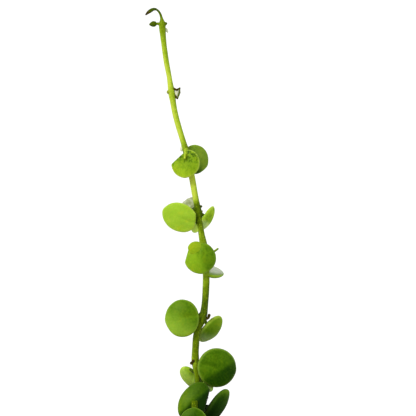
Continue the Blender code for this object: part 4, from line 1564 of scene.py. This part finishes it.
def scatter_growth():
    """Geometry nodes: pieces strewn over the part of a surface that has room, each with its own tone."""
    strewn = Growth(
        "Pieces strewn on a surface",
        (
            ("Pieces", "Collection"),
            ("Spacing", "Float"),
            ("Smallest", "Float"),
            ("Largest", "Float"),
            ("Tilt", "Float"),
            ("Room", "Float"),
            ("Seed", "Int"),
            ("Finish", "Material"),
        ),
    )
    given = strewn.given
    x, y, _ = strewn.parts(strewn.node("GeometryNodeInputPosition").outputs[0])
    _, _, up = strewn.parts(strewn.node("GeometryNodeInputNormal").outputs[0])
    near = ((x * x + y * y) ** 0.5).below(given["Room"])
    open_to_sky = up.above(LEAST_UPWARD)
    points = strewn.node(
        "GeometryNodeDistributePointsOnFaces",
        {"distribute_method": "POISSON"},
        {
            "Mesh": given["Geometry"],
            "Selection": near * open_to_sky,
            "Distance Min": given["Spacing"],
            "Density Max": STREWN_DENSITY,
            "Seed": given["Seed"],
        },
    ).outputs["Points"]
    sockets = {"Collection": given["Pieces"], "Separate Children": True, "Reset Children": True}
    kinds = strewn.node("GeometryNodeCollectionInfo", {}, sockets).outputs[0]
    tilt = strewn.number("Tilt")
    least = strewn.node("ShaderNodeCombineXYZ", {}, {0: 0 - tilt, 1: 0 - tilt, 2: 0.0}).outputs[0]
    most = strewn.node("ShaderNodeCombineXYZ", {}, {0: tilt, 1: tilt, 2: math.tau}).outputs[0]
    sockets = {
        "Points": points,
        "Instance": kinds,
        "Pick Instance": True,
        "Instance Index": strewn.chance(0, LAST_PICK, given["Seed"], "INT"),
        "Rotation": strewn.chance(least, most, given["Seed"], "FLOAT_VECTOR"),
        "Scale": strewn.chance(given["Smallest"], given["Largest"], given["Seed"]),
    }
    placed = strewn.node("GeometryNodeInstanceOnPoints", {}, sockets).outputs[0]
    tone = strewn.chance(0.0, 1.0, STREWN_TONE_SEED)
    strewn.finish(strewn.marked(placed, "tone", tone, "INSTANCE"))
    return strewn


def blade_kinds(looks):
    """Blades one unit from middle to tip, for the leaves of the low shoots."""
    kinds = bpy.data.collections.new("Low blades")
    bpy.context.scene.collection.children.link(kinds)
    face, tip = Vector((0, 0, 1)), Vector((1, 0, 0))
    leaf = Leaf(Vector(), Vector(), face, tip, 2.0, 2.0, LOW_DOME, LOW_NOTCH, None)
    edge = looks.leaf_edge / LOW_HALF_LEAF
    for i in range(LOW_BLADE_KINDS):
        blades = Blades()
        blades.add(leaf, Look(0, 0, 0, 0, 1), LOW_BLADE_GRID, LOW_BLADE_SEED_STEP * i, edge)
        made = blades.as_object(f"low_blade_{i}", kinds)
        # A leaf takes its tone from the point that it stands on.
        made.data.attributes.remove(made.data.attributes["tone"])
    return kinds


def stones(name, count, stretch, seed):
    """A collection of small angular lumps, one unit long, each the hull of a few random points."""
    draw = random.Random(seed)
    kinds = bpy.data.collections.new(name)
    bpy.context.scene.collection.children.link(kinds)
    for i in range(count):
        lump = bmesh.new()
        for _ in range(STONE_CORNERS):
            way = Vector([draw.gauss(0, 1) for _ in range(3)]).normalized()
            point = way * draw.uniform(*STONE_REACH)
            lump.verts.new([part * size / 2 for part, size in zip(point, stretch)])
        hull = bmesh.ops.convex_hull(lump, input=lump.verts)
        loose = [found for found in hull["geom_interior"] if isinstance(found, bmesh.types.BMVert)]
        bmesh.ops.delete(lump, geom=loose, context="VERTS")
        bmesh.ops.recalc_face_normals(lump, faces=lump.faces)
        mesh = bpy.data.meshes.new(f"{name}_{i}")
        lump.to_mesh(mesh)
        lump.free()
        linked(f"{name}_{i}", mesh, kinds)
    return kinds


def discard(collection):
    """Removes a collection and the objects in it."""
    for obj in list(collection.objects):
        bpy.data.objects.remove(obj)
    bpy.data.collections.remove(collection)


class NICKELS_OT_pot(bpy.types.Operator):
    """Turn the clay pot and cut its drain holes"""

    bl_idname = "nickels.pot"
    bl_label = "Clay pot"

    def execute(self, context):
        looks = context.scene.nickels_pot
        collar_foot = POT_HEIGHT - POT_COLLAR_HEIGHT
        collar_radius = POT_RIM_RADIUS - POT_COLLAR_TAPER
        # Radius, height and rounding, from the middle of the floor over the rim to the middle of the base.
        corners = (
            (0, POT_FLOOR),
            (pot_inner_radius(POT_FLOOR), POT_FLOOR, 2.5 * MM),
            (pot_inner_radius(POT_HEIGHT), POT_HEIGHT, 1.5 * MM),
            (POT_RIM_RADIUS, POT_HEIGHT, 1.6 * MM),
            (collar_radius, collar_foot, 1.4 * MM),
            (POT_SHOULDER_RADIUS, collar_foot - 0.4 * MM, 0.7 * MM),
            (POT_BASE_RADIUS, 0, 1.4 * MM),
            (0, 0),
        )
        pot = turned("clay_pot", rounded_profile(corners, POT_RING_STEP), POT_SIDES)
        for vertex in pot.data.vertices:
            x, y, z = vertex.co
            radius = math.hypot(x, y)
            if radius > WELD and RING_BAND[0] < z < RING_BAND[1]:
                turn = math.atan2(y, x)
                rings = math.sin(z / MM * RING_WAVES + RING_LEAN * math.sin(turn))
                rings += RING_UNEVENNESS * uneven((x, y, z), RING_PATCHES)
                depth = noise.noise(Vector((0, 0, z)) * RING_DEPTH_WAVES + Vector((2, 3, 0)))
                swing = looks.ring_height * rings * depth
                vertex.co.x += swing * x / radius
                vertex.co.y += swing * y / radius
        drains = bpy.data.collections.new("Drain cutters")
        context.scene.collection.children.link(drains)
        for i in range(DRAIN_HOLES):
            angle = math.tau * (i + 0.5) / DRAIN_HOLES
            x, y = DRAIN_CIRCLE * math.cos(angle), DRAIN_CIRCLE * math.sin(angle)
            cutter = bmesh.new()
            bmesh.ops.create_cone(
                cutter,
                cap_ends=True,
                segments=DRAIN_SIDES,
                radius1=DRAIN_RADIUS,
                radius2=DRAIN_RADIUS,
                depth=3 * POT_FLOOR,
                matrix=Matrix.Translation((x, y, POT_FLOOR / 2)),
            )
            mesh = bpy.data.meshes.new(f"drain_cutter_{i}")
            cutter.to_mesh(mesh)
            cutter.free()
            linked(f"drain_cutter_{i}", mesh, drains)
        cut = pot.modifiers.new("Drains", "BOOLEAN")
        cut.operation = "DIFFERENCE"
        cut.operand_type = "COLLECTION"
        cut.collection = drains
        cut.solver = "EXACT"
        pot = plain(pot, "clay_pot")
        discard(drains)
        pot.data.set_sharp_from_angle(angle=math.radians(POT_SHARP))
        pot.data.materials.clear()
        pot.data.materials.append(clay_finish(looks))
        settle(pot, "terracotta", "pot")
        return {"FINISHED"}


class NICKELS_OT_mix(bpy.types.Operator):
    """Fill the pot with fine mix, and strew bark chips and grit over it"""

    bl_idname = "nickels.mix"
    bl_label = "Bark mix"

    def execute(self, context):
        looks = context.scene.nickels_pot
        top_radius = pot_inner_radius(MIX_TOP) - MIX_GAP
        profile = [Vector((top_radius * i / MIX_RINGS, MIX_TOP)) for i in range(MIX_RINGS + 1)]
        floor = POT_FLOOR + MIX_GAP
        profile += [
            Vector((pot_inner_radius(floor + MIX_FOOT) - 3 * MIX_GAP, floor + MIX_FOOT)),
            Vector((pot_inner_radius(floor) - MIX_FOOT_INSET, floor)),
            Vector((0, floor)),
        ]
        bed = turned("mix_bed", profile, MIX_SIDES)
        for vertex in bed.data.vertices:
            if vertex.co.z > MIX_TOP - WELD:
                vertex.co.z = mix_surface(vertex.co.x, vertex.co.y)
        bed.data.materials.append(soil_finish(looks))
        strewn = scatter_growth()
        chips = stones("bark_chip", CHIP_KINDS, CHIP_STRETCH, CHIP_SEEDS[0])
        grains = stones("grit_grain", GRIT_KINDS, GRIT_STRETCH, GRIT_SEEDS[0])
        cover = strewn.grow(
            linked("chip_ground", bed.data.copy()),
            "bark_chips",
            pieces=chips,
            spacing=looks.chip_spacing,
            smallest=CHIP_SIZES[0],
            largest=CHIP_SIZES[1],
            tilt=CHIP_TILT,
            room=CHIP_ROOM,
            seed=CHIP_SEEDS[1],
            finish=chip_finish(looks),
        )
        grit = strewn.grow(
            linked("grit_ground", bed.data.copy()),
            "pumice_grit",
            pieces=grains,
            spacing=looks.grit_spacing,
            smallest=GRIT_SIZES[0],
            largest=GRIT_SIZES[1],
            tilt=GRIT_TILT,
            room=GRIT_ROOM,
            seed=GRIT_SEEDS[1],
            finish=grit_finish(looks),
        )
        discard(chips)
        discard(grains)
        for piece in (bed, cover, grit):
            settle(piece, "bark_mix", "bark_mix")
        return {"FINISHED"}


class NICKELS_OT_climbing_shoot(bpy.types.Operator):
    """Grow the tall climbing shoot with its leaves, buds, rootlets and withered leaf"""

    bl_idname = "nickels.climbing_shoot"
    bl_label = "Climbing shoot"

    def execute(self, context):
        looks = context.scene.nickels_plant
        route = climbing_route()
        tip = route[-1][0]

        def bark(point):
            at_tip = smooth_step(TIP_BARK_START, 0.0, (point - tip).length)
            return max(NODE_BARK * node_nearness(point) ** 3, at_tip)

        lines = Routes()
        lines.add(route, lambda point: between(STEM_TONES_AND_SHADE, (point.z - MIX_TOP) / MM), bark)
        blades = Blades()
        for i, (spec, look) in enumerate(CLIMBING_LEAVES):
            leaf = grown(route, spec)
            grid = BLADE_GRID if spec.length > SMALL_BLADE else SMALL_BLADE_GRID
            blades.add(leaf, look, grid, LEAF_SEED_STEP * i, looks.leaf_edge)
            stalk_tone = STALK_TONE[0] + STALK_TONE[1] * look.tone
            lines.add(stalk_route(leaf), lambda point, tone=stalk_tone: tone, lambda point: 0.0)
        for i, (spec, look) in enumerate(LOBES):
            blades.add(grown(route, spec), look, BLADE_GRID, LOBE_SEED + i, looks.leaf_edge)
        for spur in CLIMBING_SPURS:
            lines.add(spur_route(spur), lambda point, s=spur: s.tone, lambda point, s=spur: s.bark)
        withered = Blades()
        for i, (spec, tone) in enumerate(WITHERED):
            leaf, look = grown(route, spec), Look(tone, tone, 0, 0, 1, 0)
            withered.add(leaf, look, WITHERED_GRID, WITHERED_SEED + i, 0.0, WITHERED_CRUMPLE)
        stem = stem_growth().grow(
            lines.as_object(),
            "climbing_stem",
            sides=looks.stem_sides,
            unevenness=2 * looks.stem_unevenness,
            bump_size=STEM_BUMP_SIZE,
            finish=stem_finish(looks, painted_side_light=PAINTED_SIDE_LIGHT),
        )
        leaves = blades.as_object("climbing_leaves")
        leaves.data.materials.append(leaf_finish(looks))
        dry = withered.as_object("withered_leaf")
        dry.data.materials.append(withered_finish())
        for piece in (stem, leaves, dry):
            settle(piece, "plant_green", "climbing_shoot")
        return {"FINISHED"}


class NICKELS_OT_low_shoots(bpy.types.Operator):
    """Grow the trailing and the young rising shoots round the pot"""

    bl_idname = "nickels.low_shoots"
    bl_label = "Low shoots"

    def execute(self, context):
        looks = context.scene.nickels_plant
        stems, leaves = stem_growth(), leaf_growth()
        kinds = blade_kinds(looks)
        green, skin = leaf_finish(looks, "low_leaf_green"), stem_finish(looks, "low_stem_green")
        for shoot in LOW_SHOOTS:
            lines, places = self.laid_out(shoot)
            foliage = leaves.grow(
                places,
                shoot.name + "_leaves",
                blades=kinds,
                kinds=LOW_BLADE_KINDS,
                seed=shoot.seed,
                finish=green,
            )
            stem = stems.grow(
                lines.as_object(),
                shoot.name + "_stem",
                sides=LOW_STEM_SIDES,
                unevenness=2 * looks.stem_unevenness,
                bump_size=STEM_BUMP_SIZE,
                finish=skin,
            )
            for piece in (stem, foliage):
                settle(piece, "plant_green", shoot.name)
        discard(kinds)
        return {"FINISHED"}

    def laid_out(self, shoot):
        """The routes of a shoot's stem, stalks and rootlets, and an object with a point for each leaf."""
        route = low_route(shoot)
        tip = route[-1][0]

        def tone(point):
            return LOW_STEM_TONE + LOW_STEM_GAIN * smooth_step(*LOW_STEM_FRESH, (point - tip).length)

        def bark(point):
            return LOW_TIP_BARK * smooth_step(LOW_TIP_BARK_START, 0.0, (point - tip).length)

        draw = random.Random(shoot.seed + LOW_ROOTLET_SEED)
        lines = Routes()
        lines.add(rounded_end(route), tone, bark)
        points, turns, sizes, tones = [], [], [], []
        for leaf, age in low_leaves(shoot, route):
            turns.append(tuple(Matrix(leaf_axes(leaf)).transposed().to_quaternion()))
            points.append(leaf.middle)
            sizes.append((leaf.length / 2, leaf.width / 2, leaf.length / 2))
            tones.append(LOW_LEAF_TONE + LOW_LEAF_GAIN * (1 - age) + draw.uniform(*LOW_LEAF_TONES))
            lines.add(stalk_route(leaf), tone, lambda point: LOW_STALK_BARK)
            if draw.random() < LOW_ROOTLET_SHARE:
                self.add_rootlet(lines, leaf.foot, draw)
        mesh = bpy.data.meshes.new("leaf_points")
        mesh.from_pydata(points, [], [])
        store(mesh, "turn", turns, "QUATERNION")
        store(mesh, "size", sizes, "FLOAT_VECTOR")
        store(mesh, "tone", tones)
        return lines, linked("leaf_points", mesh)

    @staticmethod
    def add_rootlet(lines, foot, draw):
        """A short brown rootlet from a node, reaching out and down."""
        length = draw.uniform(*LOW_ROOTLET) * MM
        way = Vector((draw.uniform(-1, 1), draw.uniform(-1, 1), draw.uniform(-1.0, 0.2))).normalized()
        sag = Vector((0, 0, -LOW_ROOTLET_SAG * length))
        places = (foot, foot + way * length * LOW_ROOTLET_BEND, foot + way * length + sag)
        stops = [(place, radius * MM) for place, radius in zip(places, LOW_ROOTLET_RADII)]
        route = rounded_end(smooth_route(stops, LOW_ROOTLET_STEP))
        lines.add(route, lambda point: LOW_ROOTLET_TONE, lambda point: LOW_ROOTLET_BARK)


class NICKELS_OT_stage(bpy.types.Operator):
    """Set up the floor, the soft studio light and the camera"""

    bl_idname = "nickels.stage"
    bl_label = "Studio"

    def execute(self, context):
        looks = context.scene.nickels_stage
        self.add_floor(looks)
        self.add_light("key_light", KEY_PLACE, looks.key, looks.key_size)
        self.add_light("fill_light", FILL_PLACE, looks.key * FILL_POWER, FILL_SIZE * looks.key_size)
        world = bpy.data.worlds.new("soft_sky")
        world.use_nodes = True
        sky = world.node_tree.nodes["Background"]
        sky.inputs["Color"].default_value = (1, 1, 1, 1)
        sky.inputs["Strength"].default_value = looks.sky
        context.scene.world = world
        context.scene.view_settings.view_transform = "Standard"
        camera = bpy.data.cameras.new("camera")
        camera.sensor_width = CAMERA_SENSOR
        camera.lens = CAMERA_SENSOR * -CAMERA_PLACE[1] / CAMERA_VIEW
        camera.clip_end = 100
        view = bpy.data.objects.new("camera", camera)
        view.location = CAMERA_PLACE
        view.rotation_euler = (math.pi / 2, 0, 0)
        context.scene.collection.objects.link(view)
        context.scene.camera = view
        return {"FINISHED"}

    @staticmethod
    def add_floor(looks):
        """A round floor that curves up into a wall, all in one sheet."""
        flat = looks.floor_radius
        profile = [(flat * (i + 1) / FLOOR_RINGS, 0.0) for i in range(FLOOR_RINGS)]
        for i in range(FLOOR_BEND_RINGS):
            angle = math.pi / 2 * (i + 1) / FLOOR_BEND_RINGS
            profile.append((flat + FLOOR_BEND * math.sin(angle), FLOOR_BEND * (1 - math.cos(angle))))
        profile.append((flat + FLOOR_BEND, FLOOR_BEND + FLOOR_WALL))
        points = [(0, 0, 0)]
        faces = []
        for radius, height in profile:
            for k in range(FLOOR_SIDES):
                angle = math.tau * k / FLOOR_SIDES
                points.append((radius * math.cos(angle), radius * math.sin(angle), height))
        for k in range(FLOOR_SIDES):
            after = (k + 1) % FLOOR_SIDES
            faces.append((0, 1 + k, 1 + after))
            for ring in range(len(profile) - 1):
                a = 1 + ring * FLOOR_SIDES
                b = a + FLOOR_SIDES
                faces.append((a + k, b + k, b + after, a + after))
        mesh = bpy.data.meshes.new("studio_floor")
        mesh.from_pydata(points, [], faces)
        mesh.shade_smooth()
        floor = linked("studio_floor", mesh)
        paper = Finish("studio_paper")
        shade = paper.cloud(3.0, 2)
        colour = paper.blend(shade * 0.05, tuple(looks.floor), (0.86, 0.86, 0.86))
        glow = {"Emission_Color": (1, 1, 1, 1), "Emission_Strength": FLOOR_GLOW}
        flat_normal = paper.bump(shade, 0.01 * MM)
        mesh.materials.append(paper.done(colour, 0.9, flat_normal, Specular_IOR_Level=0.1, **glow))
        floor.visible_diffuse = False
        floor.visible_glossy = False

    @staticmethod
    def add_light(name, place, power, size):
        light = bpy.data.lights.new(name, "AREA")
        light.shape = "DISK"
        light.size = size
        light.energy = power
        lamp = bpy.data.objects.new(name, light)
        lamp.location = place
        aim = Vector((0, 0, LIGHT_AIM)) - Vector(place)
        lamp.rotation_euler = aim.to_track_quat("-Z", "Y").to_euler()
        bpy.context.scene.collection.objects.link(lamp)


STEPS = (
    NICKELS_OT_pot,
    NICKELS_OT_mix,
    NICKELS_OT_climbing_shoot,
    NICKELS_OT_low_shoots,
    NICKELS_OT_stage,
)


class NICKELS_PT_panel(bpy.types.Panel):
    """The steps of the plant, in the order in which they are made"""

    bl_idname = "NICKELS_PT_panel"
    bl_label = "String of Nickels"
    bl_space_type = "VIEW_3D"
    bl_region_type = "UI"
    bl_category = "Nickels"

    def draw(self, context):
        for step in STEPS:
            self.layout.operator(step.bl_idname)
        for looks in (context.scene.nickels_plant, context.scene.nickels_pot, context.scene.nickels_stage):
            for name in looks.__annotations__:
                self.layout.prop(looks, name)


CLASSES = (PlantLooks, PotLooks, StageLooks, *STEPS, NICKELS_PT_panel)


def register():
    for made in CLASSES:
        bpy.utils.register_class(made)
    bpy.types.Scene.nickels_plant = PointerProperty(type=PlantLooks)
    bpy.types.Scene.nickels_pot = PointerProperty(type=PotLooks)
    bpy.types.Scene.nickels_stage = PointerProperty(type=StageLooks)


def unregister():
    del bpy.types.Scene.nickels_stage
    del bpy.types.Scene.nickels_pot
    del bpy.types.Scene.nickels_plant
    for made in reversed(CLASSES):
        bpy.utils.unregister_class(made)


def main():
    register()
    bpy.ops.nickels.pot()
    bpy.ops.nickels.mix()
    bpy.ops.nickels.climbing_shoot()
    bpy.ops.nickels.low_shoots()
    bpy.ops.nickels.stage()


if __name__ == "__main__":
    main()
